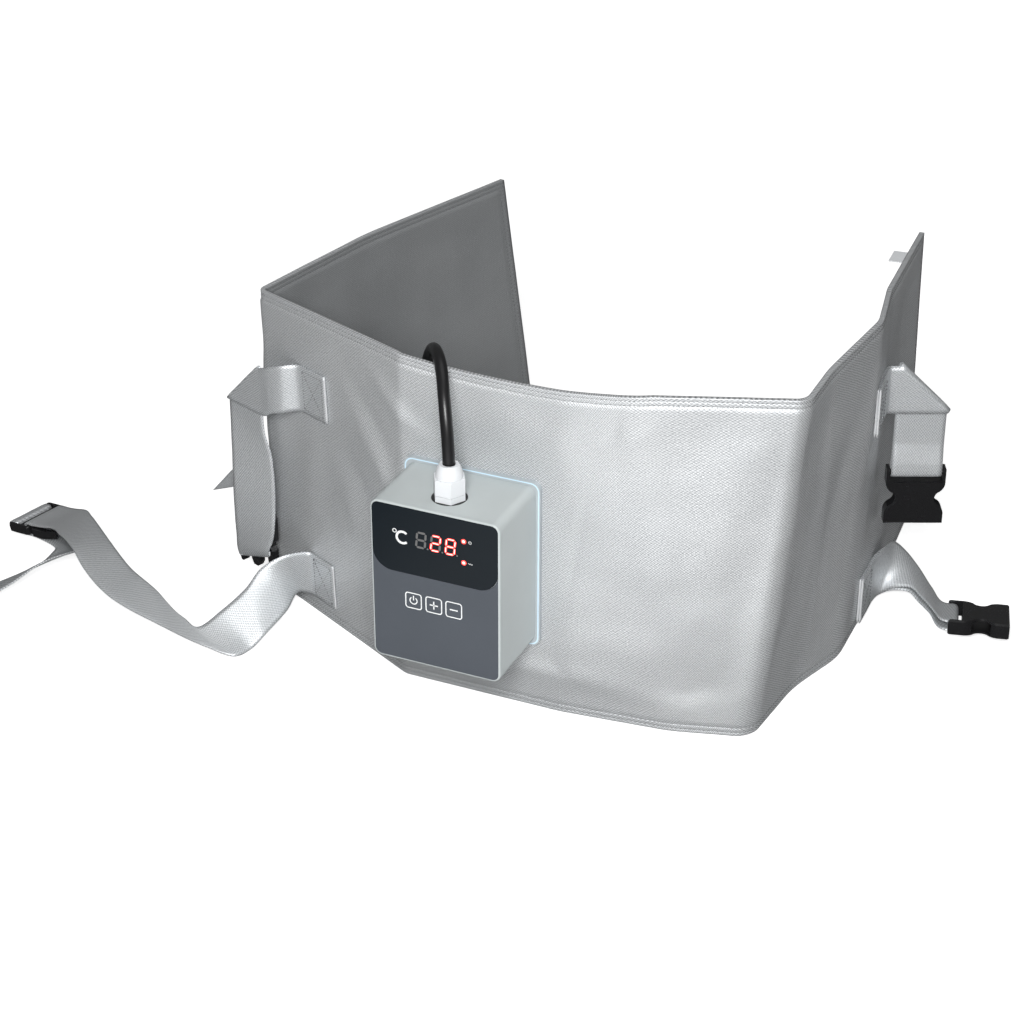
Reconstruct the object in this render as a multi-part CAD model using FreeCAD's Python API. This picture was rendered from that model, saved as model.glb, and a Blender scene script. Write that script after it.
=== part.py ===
import FreeCAD, Part
import math
import os
from FreeCAD import Vector

# Container heating belt with its control box, four webbing straps and two pairs of side-release buckles.
# Millimetres, +Z up. The belt stands open on its lower hem, the control box faces -Y.
# Every piece is drawn about the middle of the control box's mounting face and moved at the end, so that
# the origin lies under the middle of the whole belt, cord apart.

# Belt: outer cloth with a hem all round, felt, heater mat and inner cloth
BELT_HEIGHT = 240.0
BELT_THICK = 4.6
OUTER_CLOTH = 0.9
INNER_CLOTH = 0.8
HEATER_MAT = 1.0
LAYER_GAP = 0.15
HEM = 12.0
RIM_SAG = 5.0
RIM_SAG_FROM = -56.0
RIM_SAG_TO = 118.0

# Where the inner cloth lies flat against the container
CONTACT_FROM = -48.5
CONTACT_TO = 55.0
CONTACT_FLAT = 0.05

# Plan of the outer face from the left end to the right end: x, y and corner radius
RIM_PLAN = [(-117, 300, 0), (-161, 166, 200), (-183, 51, 8), (-52, 0, 12), (62, 0, 120), (110, 5, 90),
            (208, 43, 12), (207.5, 90, 150), (215, 174, 40), (205, 225, 70), (197.5, 329, 0)]
FLOOR_PLAN = [(-95, 320, 0), (-170, 190, 90), (-197, 75, 9), (-52, 0, 12), (62, 0, 120), (136, 8, 90),
              (188, 23, 18), (194, 90, 120), (210, 140, 70), (208, 223, 90), (198, 343, 0)]

# Control box: deep front cover and shallow rear shell on a mounting plate
BOX_WIDTH = 90.0
BOX_HEIGHT = 115.0
BOX_DEPTH = 58.0
BOX_BOTTOM = 52.0
BOX_CORNER = 6.0
BOX_WALL = 2.4
BOX_EDGE_ROUND = 1.2
REAR_DEPTH = 13.0
PLATE_THICK = 3.0
PLATE_MARGIN = 3.2
LABEL_MARGIN = 1.3
LABEL_THICK = 0.6
WINDOW_BOTTOM = 118.0
WINDOW_CORNER = 14.0
FIT_GAP = 0.15

# Display, indicator lamps and touch keys, as places on the front face
DIGITS_X = 1.0
DIGITS_Z = 143.5
DIGITS_SIZE = (30.2, 7.9, 14.0)
LAMP_X = 20.2
LAMP_HEIGHTS = (135.2, 150.5)
LAMP_DIAMETER = 3.0
KEY_PLACES = (-15.5, -1.2, 12.8)
KEY_Z = 98.7
TOUCH_SPRING_DIAMETER = 6.0

# Circuit boards and the pieces on them
BOARD_THICK = 1.6
DISPLAY_BOARD = (74.0, 84.0)
POWER_BOARD = (70.0, 84.0)
BOARD_STANDOFF = 4.5
POWER_MODULE = (34.0, 18.0, 30.0)
RELAY = (19.0, 15.5, 15.5)
TERMINAL_BLOCK = (30.0, 12.0, 10.0)
PILLAR_DIAMETER = 7.5
PILLAR_INSET = 8.0
SCREW_DIAMETER = 3.0
SCREW_LENGTH = 20.0
SCREW_HEAD = (5.6, 2.2)
SCREW_CLEARANCE = 0.2

# Cable gland on the box's top
GLAND_X = 0.7
GLAND_Y = -36.7
GLAND_THREAD = 15.0
GLAND_HEX = 19.0
GLAND_FLANGE = 4.0
GLAND_NUT_HEX = 19.0
GLAND_NUT_HEIGHT = 11.0
GLAND_DOME_HEIGHT = 8.5
GLAND_DOME_TOP = 12.4
GLAND_BELOW = 9.0
LOCKNUT_HEX = 19.0
LOCKNUT_HEIGHT = 4.0
GLAND_RECESS = 1.0
GLAND_RECESS_DIAMETER = 23.4
GLAND_ENGAGE = 7.0
GLAND_BORE_GAP = 0.3
SEAL_WALL = 1.4

# Heater lead and temperature sensor
LEAD_DIAMETER = 5.0
LEAD_Z = 92.0
LEAD_HOLE_GAP = 0.3
GROMMET = (9.4, 12.0)
GROMMET_LIP = 1.0
SENSOR_DIAMETER = 9.0
SENSOR_PLACE = (-18.0, 132.0)

# Mains cord, its put-away coil and plug
CORD_DIAMETER = 8.0
CORD_ROUTE = [(0.7, -36.7, 164), (0.7, -36.7, 197), (-5, -30, 231), (-16, -11, 251), (-32, 13, 252),
              (-46, 33, 235), (-53, 37, 201), (-57, 33, 160), (-58.5, 30, 118), (-58.5, 28, 84),
              (-58.6, 30, 56), (-58.6, 38, 32), (-58.5, 54, 14), (-58.1, 76, 5.2), (-57.2, 98, 4.2)]
COIL_CENTRE = (0.0, 121.0)
COIL_LANE_OUT = 57.2
COIL_LANE_IN = 38.8
COIL_LAYERS = 2
COIL_TAIL = 23.0
CORD_FLOOR_GAP = 0.2
PLUG_WIDTH = 36.0
PLUG_THICK = 24.6
PLUG_LENGTH = 34.0
PLUG_BOOT = 22.0
PLUG_BOOT_DIAMETER = 12.4
PIN_DIAMETER = 4.8
PIN_LENGTH = 19.0
PIN_SPACING = 19.0

# Webbing
WEB_WIDTH = 35.0
WEB_THICK = 1.4
WEB_GAP = 0.25
FOLD_RADIUS = 1.0
PATCH_LENGTH = 26.0

# Straps: run of the belt that carries the sewn patch, share along it and height of the patch's middle
UPPER_LEFT_PATCH = (2, 0.405, 180.0)
LOWER_LEFT_PATCH = (2, 0.425, 31.0)
UPPER_RIGHT_PATCH = (8, 0.42, 171.0)
LOWER_RIGHT_PATCH = (8, 0.62, 23.0)
PATCH_GAP = 0.5
FOLD_LEAD = 4.0
FREE_LEAD = 6.0

# Lower left strap: middle of the free webbing at each station, then bearing and tilt of its width
LOWER_LEFT_ARM = [(-157, 37, 34, -108, 76), (-163, 20, 29, 172, 56), (-168, 0, 20, 150, 40),
                  (-176, -13, 11, 160, 33), (-184, -26, 7, 165, 18), (-203, -25, 10, 150, 14),
                  (-237, -14, 14, 125, 14), (-277, -2, 20, 95, 6), (-301, 12, 25, 86, 2),
                  (-321, 28, 27.5, 84, -6), (-343, 46, 25, 80, -3),
                  (-358, 58.5, 20.5, 77, -1), (-368.8, 61.9, 17, 76, 0)]
LOWER_LEFT_TAIL = [(-352, 55, 5.5, 70, -4), (-341, 40, 8.5, 30, 8), (-343, 20, 12, -4, 30),
                   (-350, 0, 12.5, -16, 36), (-361, -26, 9.5, -24, 26), (-378, -64, 5.8, -25, 14)]
LOWER_LEFT_BUCKLE = (-389, 67, 9)
LOWER_LEFT_BEARING = -14.0
LOWER_LEFT_PITCH = 8.0

# Upper left strap: upper end and bearing of its diagonal fold, free webbing before it, then stations across,
# out and down from the fold's upper end with the tilt of the width
UPPER_LEFT_FOLD = (-178, 40.5, 188)
UPPER_LEFT_BEARING = 158.8
UPPER_LEFT_ARM = [(-158, 33.5, 178.5, 90, 90), (-167, 34.5, 175.5, 90, 90)]
UPPER_LEFT_HANG = [(17.8, -1, 70, 0), (18.5, -1, 110, -1), (19.2, -1, 138, -8), (19.6, -1.4, 152, -16),
                   (20.8, -3.5, 156.5, -20), (22.4, -5.4, 153, -13), (23.8, -5.5, 149.5, -5)]
UPPER_LEFT_BUCKLE = (25.0, -10.0, 134.5, 0)
UPPER_LEFT_THREAD_END = 20.0
UPPER_LEFT_TAIL = [(26, -8.2, 109, -7), (32, -8.6, 107, -20), (43, -8, 108, -34), (57, -7, 110.5, -47)]
UPPER_RIGHT_FOLD = (215.4, 219.3, 188.5)
UPPER_RIGHT_BEARING = 24.2
UPPER_RIGHT_BEND = 5.0
UPPER_RIGHT_DROP = 82.0
LOWER_RIGHT_BUCKLE = (271.0, 208.4, 9.5)
LOWER_RIGHT_BEARING = 14.0
LOWER_RIGHT_ROLL = -10.0
LOWER_RIGHT_UNDER = [(212.4, 231.5, 21, 98, 74), (216, 240, 19.5, 108, 38), (226, 242, 16, 112, 15),
                     (238, 236, 10, 108, 4), (249, 226, 7.2, 105, -5)]
LOWER_RIGHT_OVER = [(214, 230, 23.5, 98, 76), (218, 237, 24, 108, 42), (228, 239, 22, 112, 18),
                    (240, 232, 17, 108, 5), (251, 222, 13.5, 105, -6)]
TAG_PLACE = (9, 0.62, BELT_HEIGHT - 4)
TAG_REACH = 10.0
TAG_LENGTH = 18.0
TAG_THICK = 0.8

# Buckles
BUCKLE_WIDTH = 41.0
BUCKLE_SLOT = 36.6
BAR_RADIUS = 2.0
BAR_CLEARANCE = 0.4
EAR_REACH = 3.5
EDGE_SOFTENING = 1.2
FEMALE_LENGTH = 38.5
FEMALE_THICK = 11.0
FEMALE_WALL = 1.8
FEMALE_POCKET = 28.0
FEMALE_SLOT = 6.2
MALE_THICK = 7.0
MALE_BAR_THICK = 3.4
MALE_OUTER_BAR = (-13.0, -9.6)
MALE_MIDDLE_BAR = (-5.2, 0.0)
MALE_FRONT_WALL = (5.0, 8.5)
PRONG_THICK = 5.8
PRONG_SIDES = [(7.5, 17.4), (11.5, 17.6), (14.0, 20.1), (24.0, 20.1), (34.5, 15.6), (34.5, 13.6), (27.0, 15.4),
               (20.0, 14.4), (7.5, 13.4)]
TONGUE_THICK = 4.8
TONGUE = [(7.5, -4.5), (29, -4.5), (33, -2.2), (33, 2.2), (29, 4.5), (7.5, 4.5)]
THREAD_START = 12.0
THREAD_RADIUS = 1.3

X = Vector(1, 0, 0)
Y = Vector(0, 1, 0)
Z = Vector(0, 0, 1)

pieces = {}


def line(start, end):
    return Part.LineSegment(start, end).toShape()


def arc(start, middle, end):
    return Part.Arc(start, middle, end).toShape()


def polygon(points):
    return Part.Face(Part.Wire(Part.makePolygon(points + [points[0]]).Edges))


def block(corner, size):
    return Part.makeBox(size[0], size[1], size[2], corner)


def left_of(direction):
    return Vector(-direction.y, direction.x, 0)


def between(start, end, share):
    return start + (end - start) * share


def side_edges(points, radii, inward):
    """Edges of a rounded polyline in plan, moved to its left by inward: line, arc, line and so on."""
    edges = []
    runs = [(points[i + 1] - points[i]).normalize() for i in range(len(points) - 1)]
    cursor = points[0] + left_of(runs[0]) * inward
    for i in range(1, len(points) - 1):
        before, after = runs[i - 1], runs[i]
        turn = before.getAngle(after)
        side = 1 if before.cross(after).z > 0 else -1
        reach = radii[i] * math.tan(turn / 2)
        start = points[i] - before * reach
        end = points[i] + after * reach
        centre = start + left_of(before) * (radii[i] * side)
        towards = (points[i] - centre).normalize()
        radius = radii[i] - side * inward
        arc_start = start + left_of(before) * inward
        arc_end = end + left_of(after) * inward
        edges.append((cursor, None, arc_start))
        edges.append((arc_start, centre + towards * radius, arc_end))
        cursor = arc_end
    edges.append((cursor, None, points[-1] + left_of(runs[-1]) * inward))
    return edges


def edge_shape(edge, backwards=False):
    start, middle, end = edge
    if backwards:
        start, end = end, start
    return line(start, end) if middle is None else arc(start, middle, end)


def strip_wire(points, radii, near, far):
    """Closed outline of a band that lies between two offsets of one rounded polyline."""
    first = side_edges(points, radii, near)
    second = side_edges(points, radii, far)
    edges = [edge_shape(edge) for edge in first]
    edges.append(line(first[-1][2], second[-1][2]))
    edges += [edge_shape(edge, True) for edge in reversed(second)]
    edges.append(line(second[0][0], first[0][0]))
    return Part.Wire(edges)


def trimmed_plan(plan, level, trim):
    """Corner points of a plan at one level, with both ends drawn in by trim."""
    points = [Vector(x, y, level) for x, y, _ in plan]
    points[0] = points[0] + (points[1] - points[0]).normalize() * trim
    points[-1] = points[-1] + (points[-2] - points[-1]).normalize() * trim
    return points


def sag_cutter(top):
    """What the sagging rim leaves out above a level of the front panel."""
    half = (RIM_SAG_TO - RIM_SAG_FROM) / 2
    middle = (RIM_SAG_TO + RIM_SAG_FROM) / 2
    front, back = -BOX_DEPTH, BELT_THICK * 6
    left = Vector(middle - half, front, top)
    right = Vector(middle + half, front, top)
    bottom = Vector(middle, front, top - RIM_SAG)
    lift = Z * (RIM_SAG * 4)
    edges = [arc(left, bottom, right), line(right, right + lift), line(right + lift, left + lift),
             line(left + lift, left)]
    return Part.Face(Part.Wire(edges)).extrude(Y * (back - front))


def belt_layer(near, far, margin):
    """One sewn layer of the belt between two depths from its outer face, drawn in by margin all round."""
    radii_floor = [radius for _, _, radius in FLOOR_PLAN]
    radii_rim = [radius for _, _, radius in RIM_PLAN]
    low = strip_wire(trimmed_plan(FLOOR_PLAN, 0, margin), radii_floor, near, far)
    high = strip_wire(trimmed_plan(RIM_PLAN, BELT_HEIGHT, margin), radii_rim, near, far)
    layer = Part.makeLoft([low, high], True, True)
    if margin > 0:
        reach = 2000.0
        slab = block(Vector(-reach, -reach, margin), (2 * reach, 2 * reach, BELT_HEIGHT - 2 * margin))
        layer = layer.common(slab)
    return layer.cut(sag_cutter(BELT_HEIGHT - margin))


def face_point(run, share, height, out):
    """Point outside a straight run of the outer face, and the run's direction there."""
    level = height / BELT_HEIGHT
    ends = []
    for corner in (run, run + 1):
        low = Vector(FLOOR_PLAN[corner][0], FLOOR_PLAN[corner][1], 0)
        high = Vector(RIM_PLAN[corner][0], RIM_PLAN[corner][1], BELT_HEIGHT)
        ends.append(between(low, high, level))
    along = (ends[1] - ends[0])
    along.z = 0
    along = along.normalize()
    return between(ends[0], ends[1], share) - left_of(along) * out, along


# Belt
inner_face = BELT_THICK
pocket_depth = OUTER_CLOTH
felt_far = BELT_THICK - INNER_CLOTH - LAYER_GAP - HEATER_MAT - LAYER_GAP
heater_near = felt_far + LAYER_GAP
heater_far = heater_near + HEATER_MAT
lead_hole = LEAD_DIAMETER + 2 * LEAD_HOLE_GAP


def drilled(shape, diameter, x, z, front=-BOX_DEPTH, back=BELT_THICK * 2):
    """Shape with a round hole along Y."""
    return shape.cut(Part.makeCylinder(diameter / 2, back - front, Vector(x, front, z), Y))


pocket = belt_layer(pocket_depth, BELT_THICK + 2, HEM)
outer_cloth = belt_layer(0, BELT_THICK, 0).cut(pocket)
pieces["outer_cloth"] = drilled(outer_cloth, lead_hole, 0, LEAD_Z)
felt = belt_layer(pocket_depth + LAYER_GAP, felt_far, HEM + LAYER_GAP)
pieces["insulation_felt"] = drilled(felt, lead_hole, 0, LEAD_Z)
heater = belt_layer(heater_near, heater_far, HEM + 4)
pieces["heater_mat"] = drilled(heater, SENSOR_DIAMETER + 2 * LEAD_HOLE_GAP, SENSOR_PLACE[0], SENSOR_PLACE[1])
pieces["inner_cloth"] = belt_layer(heater_far + LAYER_GAP, BELT_THICK, HEM + LAYER_GAP)
contact_side = block(Vector(CONTACT_FROM, BELT_THICK - CONTACT_FLAT, -1),
                     (CONTACT_TO - CONTACT_FROM, BELT_THICK, BELT_HEIGHT + 2))
pieces["inner_cloth"] = pieces["inner_cloth"].cut(contact_side)
pieces["temperature_sensor"] = Part.makeCylinder(
    SENSOR_DIAMETER / 2, HEATER_MAT, Vector(SENSOR_PLACE[0], heater_near, SENSOR_PLACE[1]), Y)


def rounded_plate(left, right, low, high, radii, front, depth):
    """Plate facing -Y with rounded corners: radii run from the lower left one anticlockwise."""
    corners = [(left, low), (right, low), (right, high), (left, high)]
    steps = [(1, 0), (0, 1), (-1, 0), (0, -1)]
    edges = []
    for i, (x, z) in enumerate(corners):
        come, leave = steps[i - 1], steps[i]
        radius = radii[i]
        start = Vector(x - come[0] * radius, front, z - come[1] * radius)
        end = Vector(x + leave[0] * radius, front, z + leave[1] * radius)
        centre = start + Vector(leave[0], 0, leave[1]) * radius
        middle = centre + (Vector(x, front, z) - centre).normalize() * radius
        edges.append((start, middle, end))
    shapes = []
    for i, (start, middle, end) in enumerate(edges):
        shapes.append(arc(start, middle, end))
        shapes.append(line(end, edges[(i + 1) % 4][0]))
    return Part.Face(Part.Wire(shapes)).extrude(Y * depth)


def hexagon(centre, across_flats, height):
    """Upright hexagonal prism with its flats facing front and back."""
    radius = across_flats / math.sqrt(3)
    points = [centre + Vector(math.cos(math.radians(60 * k)), math.sin(math.radians(60 * k)), 0) * radius
              for k in range(6)]
    return polygon(points).extrude(Z * height)


def chamfered_hexagon(centre, across_flats, height):
    """Hexagonal prism whose corners are turned off at the top, as on a nut."""
    prism = hexagon(centre, across_flats, height)
    corner = across_flats / math.sqrt(3)
    low_radius = corner + height
    cone = Part.makeCone(low_radius, corner - 0.8, height, centre, Z)
    return prism.common(cone)


# Control box
box_top = BOX_BOTTOM + BOX_HEIGHT
half_box = BOX_WIDTH / 2
plate_back = 0.0
shell_back = plate_back - PLATE_THICK
parting = shell_back - REAR_DEPTH
box_front = -BOX_DEPTH
wall_inside = box_front + BOX_WALL
box_middle_z = BOX_BOTTOM + BOX_HEIGHT / 2
label_left, label_right = -half_box + LABEL_MARGIN, half_box - LABEL_MARGIN
label_low, label_high = BOX_BOTTOM + LABEL_MARGIN, box_top - LABEL_MARGIN
label_corner = BOX_CORNER - LABEL_MARGIN
pillar_places = [(sx * (half_box - PILLAR_INSET), box_middle_z + sz * (BOX_HEIGHT / 2 - PILLAR_INSET))
                 for sx in (-1, 1) for sz in (-1, 1)]
board_front = box_front + LABEL_THICK + FIT_GAP + DIGITS_SIZE[1]
standoff_places = [(sx * (DISPLAY_BOARD[0] / 2 - 5), box_middle_z + sz * (DISPLAY_BOARD[1] / 2 - 5))
                   for sx in (-1, 1) for sz in (-1, 1)]


def box_outline(inset, front, depth):
    corner = max(BOX_CORNER - inset, 0.5)
    return rounded_plate(-half_box + inset, half_box - inset, BOX_BOTTOM + inset, box_top - inset,
                         [corner] * 4, front, depth)


def front_cover():
    body = box_outline(0, box_front, parting - box_front)
    rim = [edge for edge in body.Edges if abs(edge.BoundBox.YMax - box_front) < 0.01]
    body = body.makeFillet(BOX_EDGE_ROUND, rim)
    body = body.cut(box_outline(BOX_WALL, wall_inside, BOX_DEPTH))
    for x, z in pillar_places:
        body = body.fuse(Part.makeCylinder(PILLAR_DIAMETER / 2, parting - wall_inside + 0.5,
                                           Vector(x, wall_inside - 0.5, z), Y))
        body = body.cut(Part.makeCylinder(SCREW_DIAMETER / 2 + SCREW_CLEARANCE, SCREW_LENGTH,
                                          Vector(x, parting - SCREW_LENGTH + 3, z), Y))
    for x, z in standoff_places:
        body = body.fuse(Part.makeCylinder(3.0, board_front - wall_inside + 0.5,
                                           Vector(x, wall_inside - 0.5, z), Y))
    body = body.cut(block(Vector(-500, parting, 0), (1000, 100, 1000)))
    body = body.cut(rounded_plate(label_left, label_right, label_low, label_high, [label_corner] * 4,
                                  box_front - 1, 1 + LABEL_THICK))
    gap = 2 * FIT_GAP
    opening = (DIGITS_SIZE[0] + gap, BOX_WALL * 2, DIGITS_SIZE[2] + gap)
    body = body.cut(block(Vector(DIGITS_X - opening[0] / 2, box_front, DIGITS_Z - opening[2] / 2), opening))
    for z in LAMP_HEIGHTS:
        body = drilled(body, LAMP_DIAMETER + 2 * gap, LAMP_X, z, box_front - 1, wall_inside + 1)
    hole = Part.makeCylinder(GLAND_THREAD / 2 + FIT_GAP, 3 * BOX_WALL, Vector(GLAND_X, GLAND_Y, box_top - 2 * BOX_WALL))
    recess = Part.makeCylinder(GLAND_RECESS_DIAMETER / 2, 10, Vector(GLAND_X, GLAND_Y, box_top - GLAND_RECESS))
    return body.cut(hole).cut(recess)


def rear_shell():
    body = box_outline(0, parting, REAR_DEPTH)
    body = body.cut(box_outline(BOX_WALL, parting - 1, REAR_DEPTH - BOX_WALL + 1))
    for x, z in pillar_places:
        body = body.fuse(Part.makeCylinder(PILLAR_DIAMETER / 2, REAR_DEPTH - 1, Vector(x, parting, z), Y))
        body = drilled(body, SCREW_DIAMETER + 2 * SCREW_CLEARANCE, x, z, parting - 1, plate_back)
        head_hole = Part.makeCylinder(SCREW_HEAD[0] / 2 + SCREW_CLEARANCE, SCREW_HEAD[1] + SCREW_CLEARANCE,
                                      Vector(x, shell_back - SCREW_HEAD[1] - SCREW_CLEARANCE, z), Y)
        body = body.cut(head_hole)
    for x, z in board_post_places:
        body = body.fuse(Part.makeCylinder(3.0, BOARD_STANDOFF + 0.5, Vector(x, power_board_back, z), Y))
    return drilled(body, GROMMET[0] + 2 * FIT_GAP, 0, LEAD_Z, parting - 1, plate_back)


power_board_back = shell_back - BOX_WALL - BOARD_STANDOFF
power_board_front = power_board_back - BOARD_THICK
board_post_places = [(sx * (POWER_BOARD[0] / 2 - 5), box_middle_z + sz * (POWER_BOARD[1] / 2 - 5))
                     for sx in (-1, 1) for sz in (-1, 1)]
pieces["front_cover"] = front_cover()
pieces["rear_shell"] = rear_shell()
plate = rounded_plate(-half_box - PLATE_MARGIN, half_box + PLATE_MARGIN, BOX_BOTTOM - PLATE_MARGIN,
                      box_top + PLATE_MARGIN, [BOX_CORNER] * 4, shell_back, PLATE_THICK)
pieces["mounting_plate"] = drilled(plate, lead_hole, 0, LEAD_Z)

# Label and window share one shallow recess of the cover
window = rounded_plate(label_left, label_right, WINDOW_BOTTOM, label_high,
                       [WINDOW_CORNER, WINDOW_CORNER, label_corner, label_corner], box_front, LABEL_THICK)
window_hole = rounded_plate(label_left - FIT_GAP, label_right + FIT_GAP, WINDOW_BOTTOM - FIT_GAP, label_high + 1,
                            [WINDOW_CORNER, WINDOW_CORNER, 0.2, 0.2], box_front - 1, LABEL_THICK + 2)
label = rounded_plate(label_left, label_right, label_low, label_high, [label_corner] * 4, box_front, LABEL_THICK)
pieces["display_window"] = window
pieces["key_label"] = label.cut(window_hole)

digits_front = box_front + LABEL_THICK + FIT_GAP
pieces["digit_module"] = block(Vector(DIGITS_X - DIGITS_SIZE[0] / 2, digits_front, DIGITS_Z - DIGITS_SIZE[2] / 2),
                               DIGITS_SIZE)


def indicator_lamp(z):
    length = board_front - digits_front
    radius = LAMP_DIAMETER / 2
    stem = Part.makeCylinder(radius, length - radius, Vector(LAMP_X, digits_front + radius, z), Y)
    dome = Part.makeSphere(radius, Vector(LAMP_X, digits_front + radius, z))
    foot = Part.makeCylinder(radius + 0.4, 1.0, Vector(LAMP_X, board_front - 1.0, z), Y)
    return stem.fuse(dome).fuse(foot)


pieces["indicator_lamps"] = Part.makeCompound([indicator_lamp(z) for z in LAMP_HEIGHTS])
board = block(Vector(-DISPLAY_BOARD[0] / 2, board_front, box_middle_z - DISPLAY_BOARD[1] / 2),
              (DISPLAY_BOARD[0], BOARD_THICK, DISPLAY_BOARD[1]))
pieces["display_board"] = board
pieces["touch_springs"] = Part.makeCompound([
    Part.makeCylinder(TOUCH_SPRING_DIAMETER / 2, board_front - wall_inside, Vector(x, wall_inside, KEY_Z), Y)
    for x in KEY_PLACES])
pieces["power_board"] = block(Vector(-POWER_BOARD[0] / 2, power_board_front, box_middle_z - POWER_BOARD[1] / 2),
                              (POWER_BOARD[0], BOARD_THICK, POWER_BOARD[1]))


def on_power_board(left, low, size):
    return block(Vector(left, power_board_front - size[1], low), size)


board_left = -POWER_BOARD[0] / 2 + 2
board_low = box_middle_z - POWER_BOARD[1] / 2 + 2
lead_front = power_board_back + 0.5
pieces["power_module"] = on_power_board(board_left, board_low + 22, POWER_MODULE)
pieces["relay"] = on_power_board(board_left + 42, board_low + 30, RELAY)
terminals = on_power_board(board_left + 4, board_low, TERMINAL_BLOCK)
for place in range(4):
    screw_well = Part.makeCylinder(2.0, 3.0, Vector(board_left + 8 + 7.3 * place, power_board_front
                                                    - TERMINAL_BLOCK[1], board_low + 5), Y)
    terminals = terminals.cut(screw_well)
pieces["terminal_block"] = terminals


def cover_screw(x, z):
    back = shell_back
    head = Part.makeCylinder(SCREW_HEAD[0] / 2, SCREW_HEAD[1], Vector(x, back - SCREW_HEAD[1], z), Y)
    shaft = Part.makeCylinder(SCREW_DIAMETER / 2, SCREW_LENGTH, Vector(x, back - SCREW_HEAD[1] - SCREW_LENGTH, z), Y)
    slots = block(Vector(x - 1.6, back - 0.9, z - 0.35), (3.2, 1.0, 0.7))
    slots = slots.fuse(block(Vector(x - 0.35, back - 0.9, z - 1.6), (0.7, 1.0, 3.2)))
    return head.fuse(shaft).cut(slots)


pieces["cover_screws"] = Part.makeCompound([cover_screw(x, z) for x, z in pillar_places])


def upright_tube(x, y, low, high, radius, bore):
    outer = Part.makeCylinder(radius, high - low, Vector(x, y, low))
    return outer.cut(Part.makeCylinder(bore, high - low + 2, Vector(x, y, low - 1)))


# Cable gland
gland_bore = CORD_DIAMETER / 2 + GLAND_BORE_GAP
gland_flange_top = box_top + GLAND_FLANGE
gland_body_top = gland_flange_top + GLAND_ENGAGE
seal_radius = gland_bore + SEAL_WALL
gland_nut_low = gland_flange_top + GLAND_BORE_GAP
gland_nut_top = gland_nut_low + GLAND_NUT_HEIGHT
gland_top = gland_nut_top + GLAND_DOME_HEIGHT


def gland_body():
    low = box_top - GLAND_BELOW
    flange = hexagon(Vector(GLAND_X, GLAND_Y, box_top), GLAND_HEX, GLAND_FLANGE)
    body = flange.fuse(Part.makeCylinder(GLAND_THREAD / 2, gland_body_top - low, Vector(GLAND_X, GLAND_Y, low)))
    body = body.cut(Part.makeCylinder(gland_bore, 100, Vector(GLAND_X, GLAND_Y, low - 1)))
    seat = Part.makeCylinder(seal_radius + 0.1, GLAND_ENGAGE, Vector(GLAND_X, GLAND_Y, gland_flange_top))
    return body.cut(seat)


def gland_dome_nut():
    nut = chamfered_hexagon(Vector(GLAND_X, GLAND_Y, gland_nut_low), GLAND_NUT_HEX, GLAND_NUT_HEIGHT)
    foot, top = GLAND_NUT_HEX / 2 - 0.7, GLAND_DOME_TOP / 2
    belly = Vector(foot - 0.6, 0, gland_nut_top + GLAND_DOME_HEIGHT * 0.5)
    profile = [line(Vector(0, 0, gland_nut_top - 0.5), Vector(foot, 0, gland_nut_top - 0.5)),
               arc(Vector(foot, 0, gland_nut_top - 0.5), belly, Vector(top, 0, gland_top)),
               line(Vector(top, 0, gland_top), Vector(0, 0, gland_top)),
               line(Vector(0, 0, gland_top), Vector(0, 0, gland_nut_top - 0.5))]
    dome = Part.Face(Part.Wire(profile)).revolve(Vector(0, 0, 0), Z, 360)
    dome.translate(Vector(GLAND_X, GLAND_Y, 0))
    nut = nut.fuse(dome)
    nut = nut.cut(Part.makeCylinder(gland_bore, 100, Vector(GLAND_X, GLAND_Y, box_top)))
    inside = Part.makeCylinder(GLAND_THREAD / 2 + FIT_GAP, gland_body_top + FIT_GAP - gland_nut_low,
                               Vector(GLAND_X, GLAND_Y, gland_nut_low))
    return nut.cut(inside)


pieces["gland_body"] = gland_body()
pieces["gland_dome_nut"] = gland_dome_nut()
pieces["gland_seal"] = upright_tube(GLAND_X, GLAND_Y, gland_flange_top, gland_body_top, seal_radius,
                                    CORD_DIAMETER / 2 + 0.1)
locknut_low = box_top - BOX_WALL - LOCKNUT_HEIGHT
pieces["gland_locknut"] = hexagon(Vector(GLAND_X, GLAND_Y, locknut_low), LOCKNUT_HEX, LOCKNUT_HEIGHT).cut(
    Part.makeCylinder(GLAND_THREAD / 2 + FIT_GAP, 20, Vector(GLAND_X, GLAND_Y, locknut_low - 1)))
pieces["gland_washer"] = upright_tube(GLAND_X, GLAND_Y, box_top - GLAND_RECESS, box_top,
                                      GLAND_RECESS_DIAMETER / 2 - FIT_GAP, GLAND_THREAD / 2 + FIT_GAP)

# Heater lead from the terminal block's board to the heater mat, with a grommet in the rear shell
lead_start = power_board_back
pieces["heater_lead"] = Part.makeCylinder(LEAD_DIAMETER / 2, heater_near - lead_start, Vector(0, lead_start, LEAD_Z), Y)
grommet_front = shell_back - BOX_WALL
grommet = Part.makeCylinder(GROMMET[0] / 2, BOX_WALL, Vector(0, grommet_front, LEAD_Z), Y)
grommet = grommet.fuse(Part.makeCylinder(GROMMET[1] / 2, GROMMET_LIP, Vector(0, grommet_front - GROMMET_LIP, LEAD_Z), Y))
pieces["lead_grommet"] = drilled(grommet, LEAD_DIAMETER + 0.2, 0, LEAD_Z)


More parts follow.
